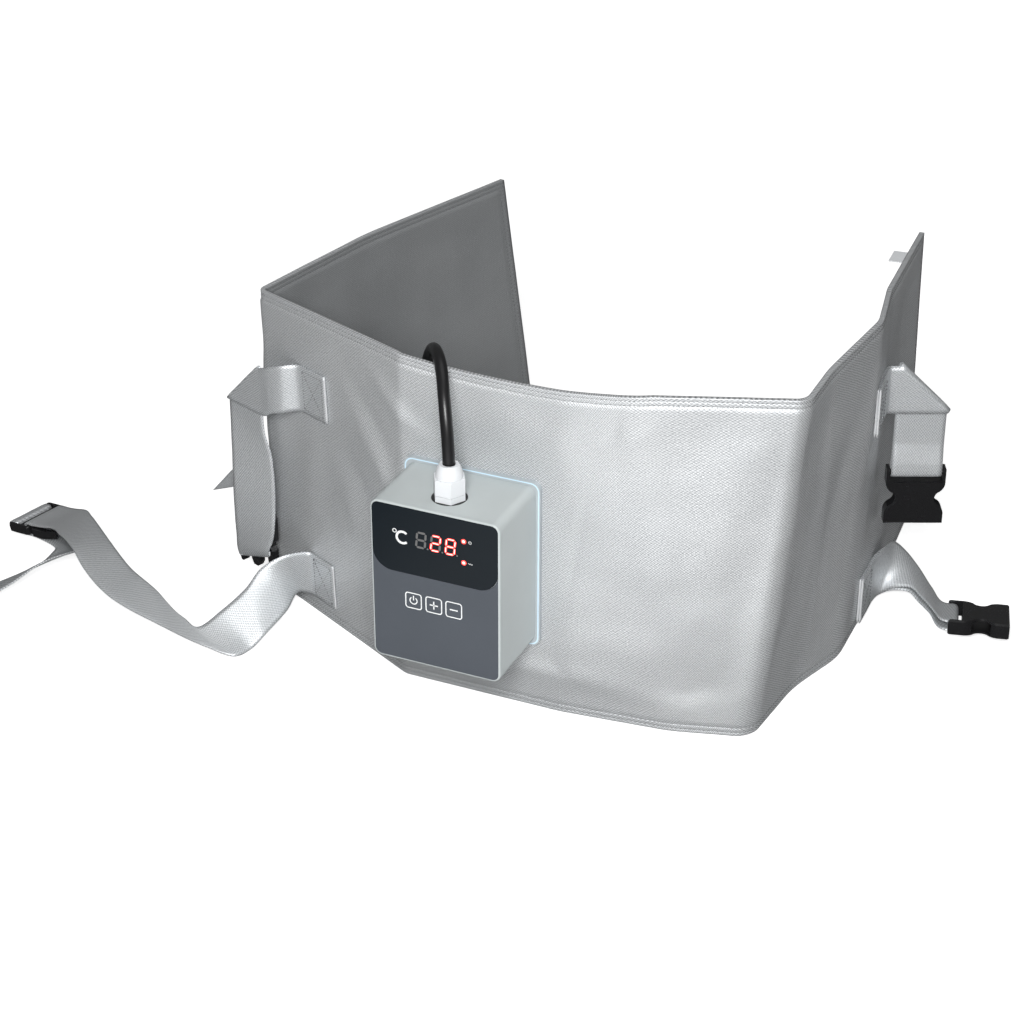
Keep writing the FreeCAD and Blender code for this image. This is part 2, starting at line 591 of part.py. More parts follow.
def route_wire(points):
    """Straight runs joined by arcs, each as large as its two runs allow."""
    edges = []
    radii = []
    cursor = points[0]
    for i in range(1, len(points) - 1):
        before = points[i] - points[i - 1]
        after = points[i + 1] - points[i]
        turn = before.getAngle(after)
        reach = 0.45 * min(before.Length, after.Length)
        start = points[i] - Vector(before).normalize() * reach
        end = points[i] + Vector(after).normalize() * reach
        radius = reach / math.tan(turn / 2)
        radii.append(radius)
        towards = ((start + end) * 0.5 - points[i]).normalize()
        centre = points[i] + towards * (radius / math.cos(turn / 2))
        edges.append(line(cursor, start))
        edges.append(arc(start, centre - towards * radius, end))
        cursor = end
    edges.append(line(cursor, points[-1]))
    return Part.Wire(edges), radii


def power_cord():
    wire, radii = route_wire([Vector(*point) for point in CORD_ROUTE])
    print("cord bend radii", [round(radius, 1) for radius in radii])
    print("cord length outside the coil", round(wire.Length, 1))
    section = Part.Wire(Part.makeCircle(CORD_DIAMETER / 2, Vector(*CORD_ROUTE[0]), Z))
    tube = wire.makePipeShell([section], True, False)
    print("cord volume over section times length",
          round(tube.Volume / (math.pi * CORD_DIAMETER ** 2 / 4 * wire.Length), 4))
    return tube


# Coil: two flat layers of turns, one outline
coil_low_lane = CORD_DIAMETER / 2 + CORD_FLOOR_GAP
coil_high_lane = coil_low_lane + (COIL_LAYERS - 1) * (CORD_DIAMETER + CORD_FLOOR_GAP)
coil_top = coil_high_lane + CORD_DIAMETER / 2
plug_front = COIL_CENTRE[1] - COIL_TAIL - PLUG_BOOT - PLUG_LENGTH


def cord_coil():
    inner, outer = COIL_LANE_IN - CORD_DIAMETER / 2, COIL_LANE_OUT + CORD_DIAMETER / 2
    centre = Vector(COIL_CENTRE[0], COIL_CENTRE[1], 0)
    ring = Part.makeCylinder(outer, coil_top, centre).cut(Part.makeCylinder(inner, coil_top, centre))
    rims = [edge for edge in ring.Edges if edge.BoundBox.ZLength < 0.01]
    ring = ring.makeFillet(CORD_DIAMETER / 2 - 1, rims)
    radius = CORD_DIAMETER / 2
    lead_in = Part.makeCylinder(radius, COIL_TAIL, centre + Vector(-COIL_LANE_OUT, -COIL_TAIL, coil_low_lane), Y)
    tail = Part.makeCylinder(radius, COIL_TAIL, centre + Vector(COIL_LANE_OUT, -COIL_TAIL, coil_high_lane), Y)
    return ring.fuse(lead_in).fuse(tail)


def oval(width, height, y):
    curve = Part.Ellipse(Vector(0, 0, 0), width / 2, height / 2).toShape()
    curve.rotate(Vector(0, 0, 0), X, 90)
    curve.translate(Vector(COIL_CENTRE[0] + COIL_LANE_OUT, y, coil_high_lane))
    return Part.Wire(curve)


def plug_body():
    boot_end = COIL_CENTRE[1] - COIL_TAIL
    body_end = boot_end - PLUG_BOOT
    place = Vector(COIL_CENTRE[0] + COIL_LANE_OUT, boot_end, coil_high_lane)
    boot = Part.makeCone(CORD_DIAMETER / 2 + 0.4, PLUG_BOOT_DIAMETER / 2, PLUG_BOOT, place, -Y)
    sections = [oval(PLUG_BOOT_DIAMETER + 0.2, PLUG_BOOT_DIAMETER, body_end + 0.5),
                oval(PLUG_WIDTH * 0.72, PLUG_THICK * 0.8, body_end - PLUG_LENGTH * 0.18),
                oval(PLUG_WIDTH * 0.98, PLUG_THICK, body_end - PLUG_LENGTH * 0.5),
                oval(PLUG_WIDTH, PLUG_THICK, plug_front)]
    return boot.fuse(Part.makeLoft(sections, True, False))


pieces["power_cord"] = power_cord()
pieces["cord_coil"] = cord_coil()
pieces["plug_body"] = plug_body()
pieces["plug_pins"] = Part.makeCompound([
    Part.makeCylinder(PIN_DIAMETER / 2, PIN_LENGTH,
                      Vector(COIL_CENTRE[0] + COIL_LANE_OUT + side * PIN_SPACING / 2, plug_front, coil_high_lane), -Y)
    for side in (-1, 1)])


def female_outline(inset, level):
    """Plan outline of the receiver half, drawn in by inset."""
    half = BUCKLE_WIDTH / 2 - inset
    neck, mouth = FEMALE_SLOT + 1.0, FEMALE_LENGTH - inset
    waist = [(neck + 6.5, half - 3.2), (neck + 12.0, half - 6.8), (neck + 17.5, half - 3.2)]
    side = [((-EAR_REACH + inset, half), None, (neck, half)),
            ((neck, half), (neck + 3.6, half - 0.9), waist[0]),
            (waist[0], waist[1], waist[2]),
            (waist[2], (neck + 20.4, half - 0.9), (neck + 24.0, half)),
            ((neck + 24.0, half), None, (mouth, half))]

    def spots(edge, mirror):
        return [point and Vector(point[0], point[1] * mirror, level) for point in edge]

    edges = [edge_shape(spots(edge, 1)) for edge in side]
    edges.append(line(Vector(mouth, half, level), Vector(mouth, -half, level)))
    edges += [edge_shape(spots(edge, -1), True) for edge in reversed(side)]
    edges.append(line(Vector(-EAR_REACH + inset, -half, level), Vector(-EAR_REACH + inset, half, level)))
    return Part.Wire(edges)


def female_buckle():
    """Receiver half: X runs from its webbing bar to its mouth, Y along the bar, Z through its thickness."""
    low = -FEMALE_THICK / 2
    levels = [(EDGE_SOFTENING, low), (0, low + EDGE_SOFTENING), (0, -low - EDGE_SOFTENING), (EDGE_SOFTENING, -low)]
    body = Part.makeLoft([female_outline(inset, level) for inset, level in levels], True, True)
    slot_half = BUCKLE_SLOT / 2
    body = body.cut(block(Vector(-EAR_REACH - 1, -slot_half, low - 1),
                          (EAR_REACH + 1 + FEMALE_SLOT, BUCKLE_SLOT, FEMALE_THICK + 2)))
    body = body.fuse(Part.makeCylinder(BAR_RADIUS, BUCKLE_SLOT + 2, Vector(0, -slot_half - 1, 0), Y))
    pocket_height = FEMALE_THICK - 2 * FEMALE_WALL
    return body.cut(block(Vector(FEMALE_LENGTH - FEMALE_POCKET, -slot_half, -pocket_height / 2),
                          (FEMALE_POCKET + 1, BUCKLE_SLOT, pocket_height)))


def male_buckle():
    """Prong half: X runs from its outer bar to the prong tips, Y along the bars, Z through its thickness."""
    half = BUCKLE_WIDTH / 2
    slot_half = BUCKLE_SLOT / 2
    base = block(Vector(MALE_OUTER_BAR[0], -half, -MALE_THICK / 2),
                 (MALE_FRONT_WALL[1] - MALE_OUTER_BAR[0], BUCKLE_WIDTH, MALE_THICK))
    base = base.makeFillet(3.0, [edge for edge in base.Edges if edge.BoundBox.ZLength > MALE_THICK - 0.1])
    base = base.makeFillet(1.0, [edge for edge in base.Edges if edge.BoundBox.ZLength < 0.01])
    body = base.cut(block(Vector(MALE_OUTER_BAR[0] - 1, -slot_half, -MALE_THICK),
                          (MALE_FRONT_WALL[0] - MALE_OUTER_BAR[0] + 1, BUCKLE_SLOT, 2 * MALE_THICK)))
    for start, end in (MALE_OUTER_BAR, MALE_MIDDLE_BAR):
        bar = block(Vector(start, -slot_half - 1, -MALE_BAR_THICK / 2),
                    (end - start, BUCKLE_SLOT + 2, MALE_BAR_THICK))
        rounded = [edge for edge in bar.Edges if edge.BoundBox.YLength > BUCKLE_SLOT]
        body = body.fuse(bar.makeFillet(MALE_BAR_THICK * 0.3, rounded))
    for mirror in (1, -1):
        arm = polygon([Vector(x, y * mirror, -PRONG_THICK / 2) for x, y in PRONG_SIDES])
        body = body.fuse(arm.extrude(Z * PRONG_THICK))
    tongue = polygon([Vector(x, y, -TONGUE_THICK / 2) for x, y in TONGUE])
    return body.fuse(tongue.extrude(Z * TONGUE_THICK))


def placed(shape, origin, along, across):
    """A shape drawn in its own axes, set down with its X along one direction and its Y across it."""
    up = along.cross(across)
    frame = FreeCAD.Placement(FreeCAD.Matrix(along.x, across.x, up.x, origin.x, along.y, across.y, up.y, origin.y,
                                             along.z, across.z, up.z, origin.z, 0, 0, 0, 1))
    moved = shape.copy()
    moved.Placement = frame.multiply(shape.Placement)
    return moved


def heading(degrees, tilt=0.0):
    """Unit vector at a bearing in plan from +X towards +Y, raised by tilt."""
    flat = math.cos(math.radians(tilt))
    return Vector(flat * math.cos(math.radians(degrees)), flat * math.sin(math.radians(degrees)),
                  math.sin(math.radians(tilt)))


def webbing_band(points, radii, origin, along, across):
    """Webbing bent in one plane: its middle follows a rounded path of X and Z in axes set down as in placed."""
    path = [Vector(x, -z, 0) for x, z in points]
    band = Part.Face(strip_wire(path, radii, -WEB_THICK / 2, WEB_THICK / 2)).extrude(Z * WEB_WIDTH)
    band.rotate(Vector(), X, -90)
    band.translate(Y * (-WEB_WIDTH / 2))
    return placed(band, origin, along, across)


def webbing_corners(centre, width, normal):
    side = width * (WEB_WIDTH / 2)
    through = normal * (WEB_THICK / 2)
    return [centre - side - through, centre + side - through, centre + side + through, centre - side + through]


def ruled_face(first, second):
    """Face between two curves that share their knots."""
    surface = Part.BSplineSurface()
    surface.buildFromPolesMultsKnots([first.getPoles(), second.getPoles()], [2, 2], first.getMultiplicities(),
                                     [0, 1], first.getKnots(), False, False, 1, first.Degree)
    return surface.toShape()


def free_webbing(stations, first_normal=None, last_normal=None):
    """Webbing that hangs or lies free: the middle of its width and its width direction at each station.
    Its four long edges are curves through the stations, and its faces are ruled between them."""
    sections, marks = [], [0.0]
    for i, (centre, width) in enumerate(stations):
        before = stations[max(i - 1, 0)][0]
        after = stations[min(i + 1, len(stations) - 1)][0]
        normal = (after - before).cross(width).normalize()
        if i == 0 and first_normal:
            normal = first_normal
        if i == len(stations) - 1 and last_normal:
            normal = last_normal
        sections.append(webbing_corners(centre, width, normal))
        if i > 0:
            marks.append(marks[-1] + centre.distanceToPoint(before))
    curves = []
    for corner_points in zip(*sections):
        curve = Part.BSplineCurve()
        curve.interpolate(Points=list(corner_points), Parameters=marks)
        curves.append(curve)
    faces = [ruled_face(curves[k], curves[(k + 1) % 4]) for k in range(4)]
    faces += [polygon(sections[0]), polygon(sections[-1])]
    skin = Part.makeCompound(faces)
    skin.sewShape(0.01)
    return Part.Solid(skin.Shells[0])


def listed(stations):
    return [(Vector(x, y, z), heading(turn, tilt)) for x, y, z, turn, tilt in stations]


def sewn_place(place):
    """Middle of a sewn patch on the belt's face, the way the strap leaves, the way up and the way out."""
    run, share, height = place
    point, along = face_point(run, share, height, 0)
    higher, _ = face_point(run, share, height + 10, 0)
    out = along.cross(higher - point).normalize()
    upwards = out.cross(along)
    return point, along, upwards, out


def sewn_layer(place, towards, number):
    """One layer of a sewn patch and the section where the free webbing leaves it."""
    point, along, upwards, out = sewn_place(place)
    middle = point + out * (PATCH_GAP + WEB_THICK / 2 + number * (WEB_THICK + WEB_GAP))
    leave = middle + along * (PATCH_LENGTH / 2 * towards)
    layer = block(Vector(-PATCH_LENGTH / 2, -WEB_WIDTH / 2, -WEB_THICK / 2), (PATCH_LENGTH, WEB_WIDTH, WEB_THICK))
    return placed(layer, middle, along, upwards), leave, upwards, out


def diagonal_fold(corner, away, radius, lead_in, lead_out):
    """Webbing that runs level, folds back over a diagonal and hangs: corner is the fold's upper end, on the
    plane midway between the two layers, away is the level direction of the run towards the fold."""
    out = away.cross(Z) * (-1 if away.cross(Z).y > 0 else 1)
    low = corner - Z * WEB_WIDTH
    tip = low + away * WEB_WIDTH
    through = out * WEB_THICK
    front = out * (radius - WEB_THICK / 2)
    level_part = polygon([corner + front, tip + front, low - away * lead_in + front,
                          corner - away * lead_in + front]).extrude(through)
    back = out * (-radius - WEB_THICK / 2)
    hanging_part = polygon([corner + back, tip + back, tip - Z * lead_out + back,
                            low - Z * lead_out + back]).extrude(through)
    beyond = (away + Z).normalize()
    inner, outer = radius - WEB_THICK / 2, radius + WEB_THICK / 2
    rim = Part.Wire([line(corner + out * inner, corner + out * outer),
                     arc(corner + out * outer, corner + beyond * outer, corner - out * outer),
                     line(corner - out * outer, corner - out * inner),
                     arc(corner - out * inner, corner + beyond * inner, corner + out * inner)])
    turn = Part.Face(rim).extrude(tip - corner)
    return [level_part, hanging_part, turn], out


def joined(lengths):
    """One solid from lengths of webbing that meet end to end: the faces where two of them meet are left out."""
    faces = [face for length in lengths for face in length.Faces]
    open_faces = []
    for face in faces:
        twins = [other for other in faces if not other.isSame(face)
                 and other.CenterOfMass.distanceToPoint(face.CenterOfMass) < 0.01]
        if not twins:
            open_faces.append(face)
    skin = Part.makeCompound(open_faces)
    skin.sewShape(0.01)
    solid = Part.Solid(skin.Shells[0])
    if solid.Volume < 0:
        solid.reverse()
    return solid


# Threading of the ladder bars in a male buckle's own X and Z: over the front wall, down through the near slot,
# under the middle bar and up through the far slot
half_web = WEB_THICK / 2
near_slot = (MALE_MIDDLE_BAR[1] + MALE_FRONT_WALL[0]) / 2
far_slot = (MALE_OUTER_BAR[1] + MALE_MIDDLE_BAR[0]) / 2
over_wall = MALE_THICK / 2 + WEB_GAP + half_web
over_bar = MALE_BAR_THICK / 2 + WEB_GAP + half_web
past_bar = MALE_OUTER_BAR[0] - WEB_GAP - half_web
under_bar = -over_bar - WEB_GAP - WEB_THICK - 0.2
thread = [(THREAD_START, over_wall), (near_slot, over_wall), (near_slot, -over_bar), (far_slot, -over_bar),
          (far_slot, over_bar)]
thread_radii = [0, 1.9, THREAD_RADIUS, THREAD_RADIUS, THREAD_RADIUS]

# Lower left strap: sewn patch, free arm, male buckle and a tail that runs back under the buckle
along = heading(LOWER_LEFT_BEARING, LOWER_LEFT_PITCH)
across = heading(LOWER_LEFT_BEARING + 90)
origin = Vector(*LOWER_LEFT_BUCKLE)
over = along.cross(across)
pieces["male_buckle_lower"] = placed(male_buckle(), origin, along, across)
layer, leave, upwards, out = sewn_layer(LOWER_LEFT_PATCH, -1, 0)
band = webbing_band(thread + [(past_bar, over_bar), (past_bar, under_bar), (THREAD_START, under_bar)],
                    thread_radii + [THREAD_RADIUS, THREAD_RADIUS, 0], origin, along, across)
arrive = origin + along * THREAD_START + over * over_wall
depart = origin + along * THREAD_START + over * under_bar
arm = free_webbing([(leave, upwards)] + listed(LOWER_LEFT_ARM) + [(arrive, across)], out * -1, over * -1)
tail = free_webbing([(depart, across)] + listed(LOWER_LEFT_TAIL), over)
pieces["strap_lower_left"] = joined([layer, arm, band, tail])

# Upper left strap: level from its patch, folded down over a diagonal, turned up again at its lower end to a
# male buckle that hangs behind it
corner = Vector(*UPPER_LEFT_FOLD)
away = heading(UPPER_LEFT_BEARING)
parts, out = diagonal_fold(corner, away, FOLD_RADIUS, 1.0, FOLD_LEAD)
layer, leave, upwards, patch_out = sewn_layer(UPPER_LEFT_PATCH, -1, 0)


def hung(place, upper, direction, facing):
    """Station of a hanging strap: across, out and down from the upper end of its fold, tilt of its width."""
    run, outward, drop, tilt = place
    return (upper + direction * run + facing * outward - Z * drop,
            direction * math.cos(math.radians(tilt)) + Z * math.sin(math.radians(tilt)))


arm = free_webbing([(leave, upwards)] + listed(UPPER_LEFT_ARM)
                   + [(corner - away * 1.0 + out * FOLD_RADIUS - Z * (WEB_WIDTH / 2), Z)], patch_out * -1, out * -1)
hang_start = (WEB_WIDTH / 2, -FOLD_RADIUS, WEB_WIDTH + FOLD_LEAD, 0)
origin, _ = hung(UPPER_LEFT_BUCKLE, corner, away, out)
along, across = Z * -1, away * -1
over = along.cross(across)
arrive = origin + along * THREAD_START + over * over_wall
depart = origin - along * UPPER_LEFT_THREAD_END + over * over_bar
hanging = free_webbing([hung(place, corner, away, out) for place in [hang_start] + UPPER_LEFT_HANG]
                       + [(arrive, away)], out * -1, out)
band = webbing_band(thread + [(-UPPER_LEFT_THREAD_END, over_bar)], thread_radii + [0], origin, along, across)
tail = free_webbing([(depart, away)] + [hung(place, corner, away, out) for place in UPPER_LEFT_TAIL], out)
pieces["male_buckle_upper"] = placed(male_buckle(), origin, along, across)
pieces["strap_upper_left"] = joined([layer, arm] + parts + [hanging, band, tail])

# Upper right strap: two layers from the patch, bent away from the belt, folded down over a diagonal and
# looped round the bar of a hanging female buckle
corner = Vector(*UPPER_RIGHT_FOLD)
away = heading(UPPER_RIGHT_BEARING)
point, face_along, _, _ = sewn_place(UPPER_RIGHT_PATCH)
shapes = []
spacing = WEB_THICK + WEB_GAP
base_out = PATCH_GAP + half_web - FOLD_RADIUS
start = point - face_along * (PATCH_LENGTH / 2) - left_of(face_along) * base_out
start = Vector(start.x, start.y, corner.z - WEB_WIDTH)
level_corner = Vector(corner.x, corner.y, start.z)
meet = face_along.cross(away).z
reach = (level_corner - start).cross(away).z / meet
bend = start + face_along * reach
for number in (0, 1):
    depth = -(FOLD_RADIUS + number * spacing)
    parts, out = diagonal_fold(corner, away, -depth, 0.0, FOLD_LEAD)
    run_in = Part.Face(strip_wire([start, bend, level_corner], [0, UPPER_RIGHT_BEND, 0],
                                  depth - half_web, depth + half_web)).extrude(Z * WEB_WIDTH)
    shapes += [run_in] + parts
loop = BAR_RADIUS + BAR_CLEARANCE + half_web
turn_radius = loop - 0.05
middle = FOLD_RADIUS + spacing / 2
hanging_from = UPPER_RIGHT_DROP - WEB_WIDTH - FOLD_LEAD
hung_path = [(-hanging_from, spacing / 2), (-22, spacing / 2), (-7, loop), (loop, loop), (loop, -loop),
             (-7, -loop), (-22, -spacing / 2), (-hanging_from, -spacing / 2)]
hung_radii = [0, 12, 12, turn_radius, turn_radius, 12, 12, 0]
origin = corner + away * (WEB_WIDTH / 2) - out * middle - Z * UPPER_RIGHT_DROP
shapes.append(webbing_band(hung_path, hung_radii, origin, Z * -1, Z.cross(out)))
pieces["female_buckle_upper"] = placed(female_buckle(), origin, Z * -1, Z.cross(out))
pieces["strap_upper_right"] = joined(shapes)

# Lower right strap: two layers from the patch, an open bend to a female buckle that lies on the floor
origin = Vector(*LOWER_RIGHT_BUCKLE)
along = heading(LOWER_RIGHT_BEARING)
across = heading(LOWER_RIGHT_BEARING + 90, LOWER_RIGHT_ROLL)
over = along.cross(across)
loop_start = -5.0
band = webbing_band([(loop_start, loop), (loop, loop), (loop, -loop), (loop_start, -loop)], [0, turn_radius, turn_radius, 0],
                    origin, along, across)
shapes = [band]
for number, side, stations in ((0, -1, LOWER_RIGHT_UNDER), (1, 1, LOWER_RIGHT_OVER)):
    layer, leave, upwards, out = sewn_layer(LOWER_RIGHT_PATCH, 1, number)
    reach = origin + along * loop_start + over * (loop * side)
    lead = leave + upwards.cross(out) * FREE_LEAD
    free = free_webbing([(leave, upwards), (lead, upwards)] + listed(stations) + [(reach, across)], out, over)
    shapes += [layer, free]
pieces["female_buckle_lower"] = placed(female_buckle(), origin, along, across)
pieces["strap_lower_right"] = joined(shapes)

# Tag folded into the hem near the right end, on the inside
point, along = face_point(*TAG_PLACE, 0)
inward = left_of(along)
tag_start = point + inward * (BELT_THICK + PATCH_GAP)
pieces["care_tag"] = placed(block(Vector(0, -TAG_LENGTH / 2, -TAG_THICK / 2), (TAG_REACH, TAG_LENGTH, TAG_THICK)),
                            tag_start, inward, along)

# The origin goes to the middle of the underside of everything but the cord
cord_pieces = ("power_cord", "cord_coil", "plug_body", "plug_pins")
extent = Part.makeCompound([shape for name, shape in pieces.items() if name not in cord_pieces])
extent = extent.optimalBoundingBox()
shift = Vector(-(extent.XMin + extent.XMax) / 2, -(extent.YMin + extent.YMax) / 2, -extent.ZMin)
print("shift to the origin", shift)

os.makedirs("parts", exist_ok=True)
for name, shape in pieces.items():
    shape.translate(shift)
    shape.exportStep("parts/" + name + ".step")
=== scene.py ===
import math

import bpy
import numpy as np
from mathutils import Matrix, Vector


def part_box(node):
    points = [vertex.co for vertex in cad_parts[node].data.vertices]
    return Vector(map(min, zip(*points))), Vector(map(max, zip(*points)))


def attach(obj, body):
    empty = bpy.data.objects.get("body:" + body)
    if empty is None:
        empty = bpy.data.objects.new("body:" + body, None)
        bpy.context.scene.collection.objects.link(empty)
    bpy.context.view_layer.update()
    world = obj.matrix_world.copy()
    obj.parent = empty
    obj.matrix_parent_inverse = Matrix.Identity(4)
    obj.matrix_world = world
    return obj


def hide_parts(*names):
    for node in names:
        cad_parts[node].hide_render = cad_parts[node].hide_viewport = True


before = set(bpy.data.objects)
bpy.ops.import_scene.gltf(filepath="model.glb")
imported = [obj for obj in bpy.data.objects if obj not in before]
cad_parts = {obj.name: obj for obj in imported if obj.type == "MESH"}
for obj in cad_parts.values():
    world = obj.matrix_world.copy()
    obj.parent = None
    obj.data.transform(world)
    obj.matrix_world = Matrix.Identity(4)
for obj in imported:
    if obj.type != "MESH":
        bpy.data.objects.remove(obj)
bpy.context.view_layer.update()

MM = 0.001
BODY = "belt"

# The belt was drawn about the middle of the control box's mounting face, on the floor. Every place below is
# in millimetres from that point, and the control box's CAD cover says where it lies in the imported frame.
BOX_DEPTH = 58.0
BOX_BOTTOM = 52.0
cover_low, cover_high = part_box("front_cover")
DRAWN_FROM = Vector(((cover_low[0] + cover_high[0]) / 2, cover_low[1] + BOX_DEPTH * MM,
                     cover_low[2] - BOX_BOTTOM * MM))


def at(x, y, z):
    return DRAWN_FROM + Vector((x, y, z)) * MM


def in_scene(name, data):
    obj = bpy.data.objects.new(name, data)
    bpy.context.collection.objects.link(obj)
    return obj


# Camera: the photograph's view
CAMERA_PLACE = (599.8, -1276.6, 921.5)
CAMERA_AZIMUTH = 24.16
CAMERA_ELEVATION = 29.07
CAMERA_LENS = 87.9
CAMERA_REACH = 20.0

camera_data = bpy.data.cameras.new("camera")
camera_data.lens = CAMERA_LENS
camera_data.clip_end = CAMERA_REACH
camera = in_scene("camera", camera_data)
camera.location = at(*CAMERA_PLACE)
camera.rotation_euler = (math.radians(90 - CAMERA_ELEVATION), 0, math.radians(CAMERA_AZIMUTH))
bpy.context.scene.camera = camera
bpy.context.scene.view_settings.view_transform = "Standard"


# Materials
class Nodes:
    """Shorthand for the node tree of a new material, or of the world where that is given."""

    def __init__(self, name, world=None):
        self.material = world or bpy.data.materials.new(name)
        self.material.use_nodes = True
        self.tree = self.material.node_tree
        self.tree.nodes.clear()
        self.output = self.add("ShaderNodeOutputWorld" if world else "ShaderNodeOutputMaterial")

    def add(self, kind, **settings):
        node = self.tree.nodes.new(kind)
        for key, value in settings.items():
            if key.startswith("in_"):
                node.inputs[key[3:].replace("_", " ")].default_value = value
            else:
                setattr(node, key, value)
        return node

    def link(self, out, into):
        self.tree.links.new(out, into)

    def math(self, operation, a, b=0.0, clamp=False):
        node = self.add("ShaderNodeMath", operation=operation, use_clamp=clamp)
        for socket, value in zip(node.inputs, (a, b)):
            if isinstance(value, (int, float)):
                socket.default_value = value
            else:
                self.link(value, socket)
        return node.outputs[0]

    def times(self, a, b):
        return self.math("MULTIPLY", a, b)

    def plus(self, a, b):
        return self.math("ADD", a, b)

    def noise(self, vector, scale, detail=2.0, roughness=0.5):
        node = self.add("ShaderNodeTexNoise", in_Scale=scale, in_Detail=detail, in_Roughness=roughness)
        self.link(vector, node.inputs["Vector"])
        return node.outputs["Fac"]

    def ramp(self, factor, stops):
        node = self.add("ShaderNodeValToRGB")
        while len(node.color_ramp.elements) < len(stops):
            node.color_ramp.elements.new(0.5)
        for element, (place, color) in zip(node.color_ramp.elements, stops):
            element.position = place
            element.color = (*color, 1.0)
        self.link(factor, node.inputs["Fac"])
        return node.outputs["Color"]

    def bump(self, height, strength, distance):
        node = self.add("ShaderNodeBump", in_Strength=strength, in_Distance=distance)
        self.link(height, node.inputs["Height"])
        return node.outputs["Normal"]

    def principled(self, **settings):
        node = self.add("ShaderNodeBsdfPrincipled", **settings)
        self.link(node.outputs[0], self.output.inputs["Surface"])
        return node

    def object_place(self):
        return self.add("ShaderNodeTexCoord").outputs["Object"]


# Weave: lean of the ribs and how far they wander in millimetres, then lean, pitch and share of the picks that
# cross them
RIB_LEAN = 0.72
RIB_WANDER = 1.3
PICK_LEAN = 0.9
PICK_PITCH = 1.25
PICK_SHARE = 0.75
# What the weave, the grain and a plain base give to the tone
TONE_WEAVE = 0.36
TONE_GRAIN = 0.75
TONE_BASE = 0.12


def silver_cloth(name, light, dark, twill_mm, metallic, roughness):
    """Coated cloth or webbing: diagonal twill ribs broken up along their length, with a metal sheen. The
    attribute lay holds millimetres along and across the cloth."""
    n = Nodes(name)
    lay = n.add("ShaderNodeAttribute", attribute_name="lay").outputs["Vector"]
    split = n.add("ShaderNodeSeparateXYZ")
    n.link(lay, split.inputs[0])
    along, across = split.outputs[0], split.outputs[1]
    wander = n.noise(lay, 0.12, 3.0)
    grain = n.noise(lay, 0.9, 2.0)
    diagonal = n.plus(n.times(along, RIB_LEAN), across)
    diagonal = n.plus(diagonal, n.times(wander, RIB_WANDER))
    rib = n.math("SINE", n.times(diagonal, 2 * math.pi / twill_mm))
    crossing = n.math("SUBTRACT", across, n.times(along, PICK_LEAN))
    pick = n.math("SINE", n.times(crossing, 2 * math.pi / (twill_mm * PICK_PITCH)))
    cell = n.times(n.plus(rib, n.times(pick, PICK_SHARE)), 0.5)
    weave = n.plus(n.times(cell, TONE_WEAVE), n.plus(n.times(grain, TONE_GRAIN), TONE_BASE))
    tone = n.ramp(weave, [(0.12, dark), (0.5, [(a + b) / 2 for a, b in zip(light, dark)]), (0.88, light)])
    broad = n.noise(lay, 0.011, 3.0)
    shade = n.add("ShaderNodeMix", data_type="RGBA", blend_type="MULTIPLY", clamp_factor=True, in_Factor=1.0)
    n.link(tone, shade.inputs["A"])
    n.link(n.ramp(broad, [(0.3, (0.92, 0.925, 0.93)), (0.7, (1.0, 1.0, 1.0))]), shade.inputs["B"])
    shader = n.principled(in_Metallic=metallic, in_Roughness=roughness)
    n.link(shade.outputs["Result"], shader.inputs["Base Color"])
    n.link(n.bump(n.plus(cell, n.times(grain, 1.1)), 0.32, 0.0002), shader.inputs["Normal"])
    return n.material


def moulded_plastic(name, color, roughness, grain_scale=900.0, grain=0.06, coat=0.0, specular=0.5):
    """Moulded plastic, or another dull surface, with a fine grain and slight unevenness in gloss."""
    n = Nodes(name)
    place = n.object_place()
    fine = n.noise(place, grain_scale, 2.0)
    broad = n.noise(place, 24.0, 3.0)
    shader = n.principled(in_Specular_IOR_Level=specular, in_Coat_Weight=coat, in_Coat_Roughness=0.08)
    darker = [c * 0.94 for c in color]
    n.link(n.ramp(broad, [(0.35, darker), (0.65, color)]), shader.inputs["Base Color"])
    n.link(n.plus(n.times(broad, 0.08), roughness - 0.04), shader.inputs["Roughness"])
    n.link(n.bump(fine, grain, 0.0002), shader.inputs["Normal"])
    return n.material


def metal(name, color, roughness):
    n = Nodes(name)
    fine = n.noise(n.object_place(), 1400.0, 3.0)
    shader = n.principled(in_Metallic=1.0)
    n.link(n.ramp(fine, [(0.3, [c * 0.8 for c in color]), (0.7, color)]), shader.inputs["Base Color"])
    n.link(n.plus(n.times(fine, 0.15), roughness), shader.inputs["Roughness"])
    return n.material


def glowing(name, color, strength):
    """Lit segment or lamp: its colour is a little uneven, as a diffuser is."""
    n = Nodes(name)
    broad = n.noise(n.object_place(), 260.0, 2.0)
    shader = n.principled(in_Roughness=0.35, in_Emission_Strength=strength)
    tone = n.ramp(broad, [(0.3, [c * 0.85 for c in color]), (0.7, color)])
    n.link(tone, shader.inputs["Base Color"])
    n.link(tone, shader.inputs["Emission Color"])
    return n.material


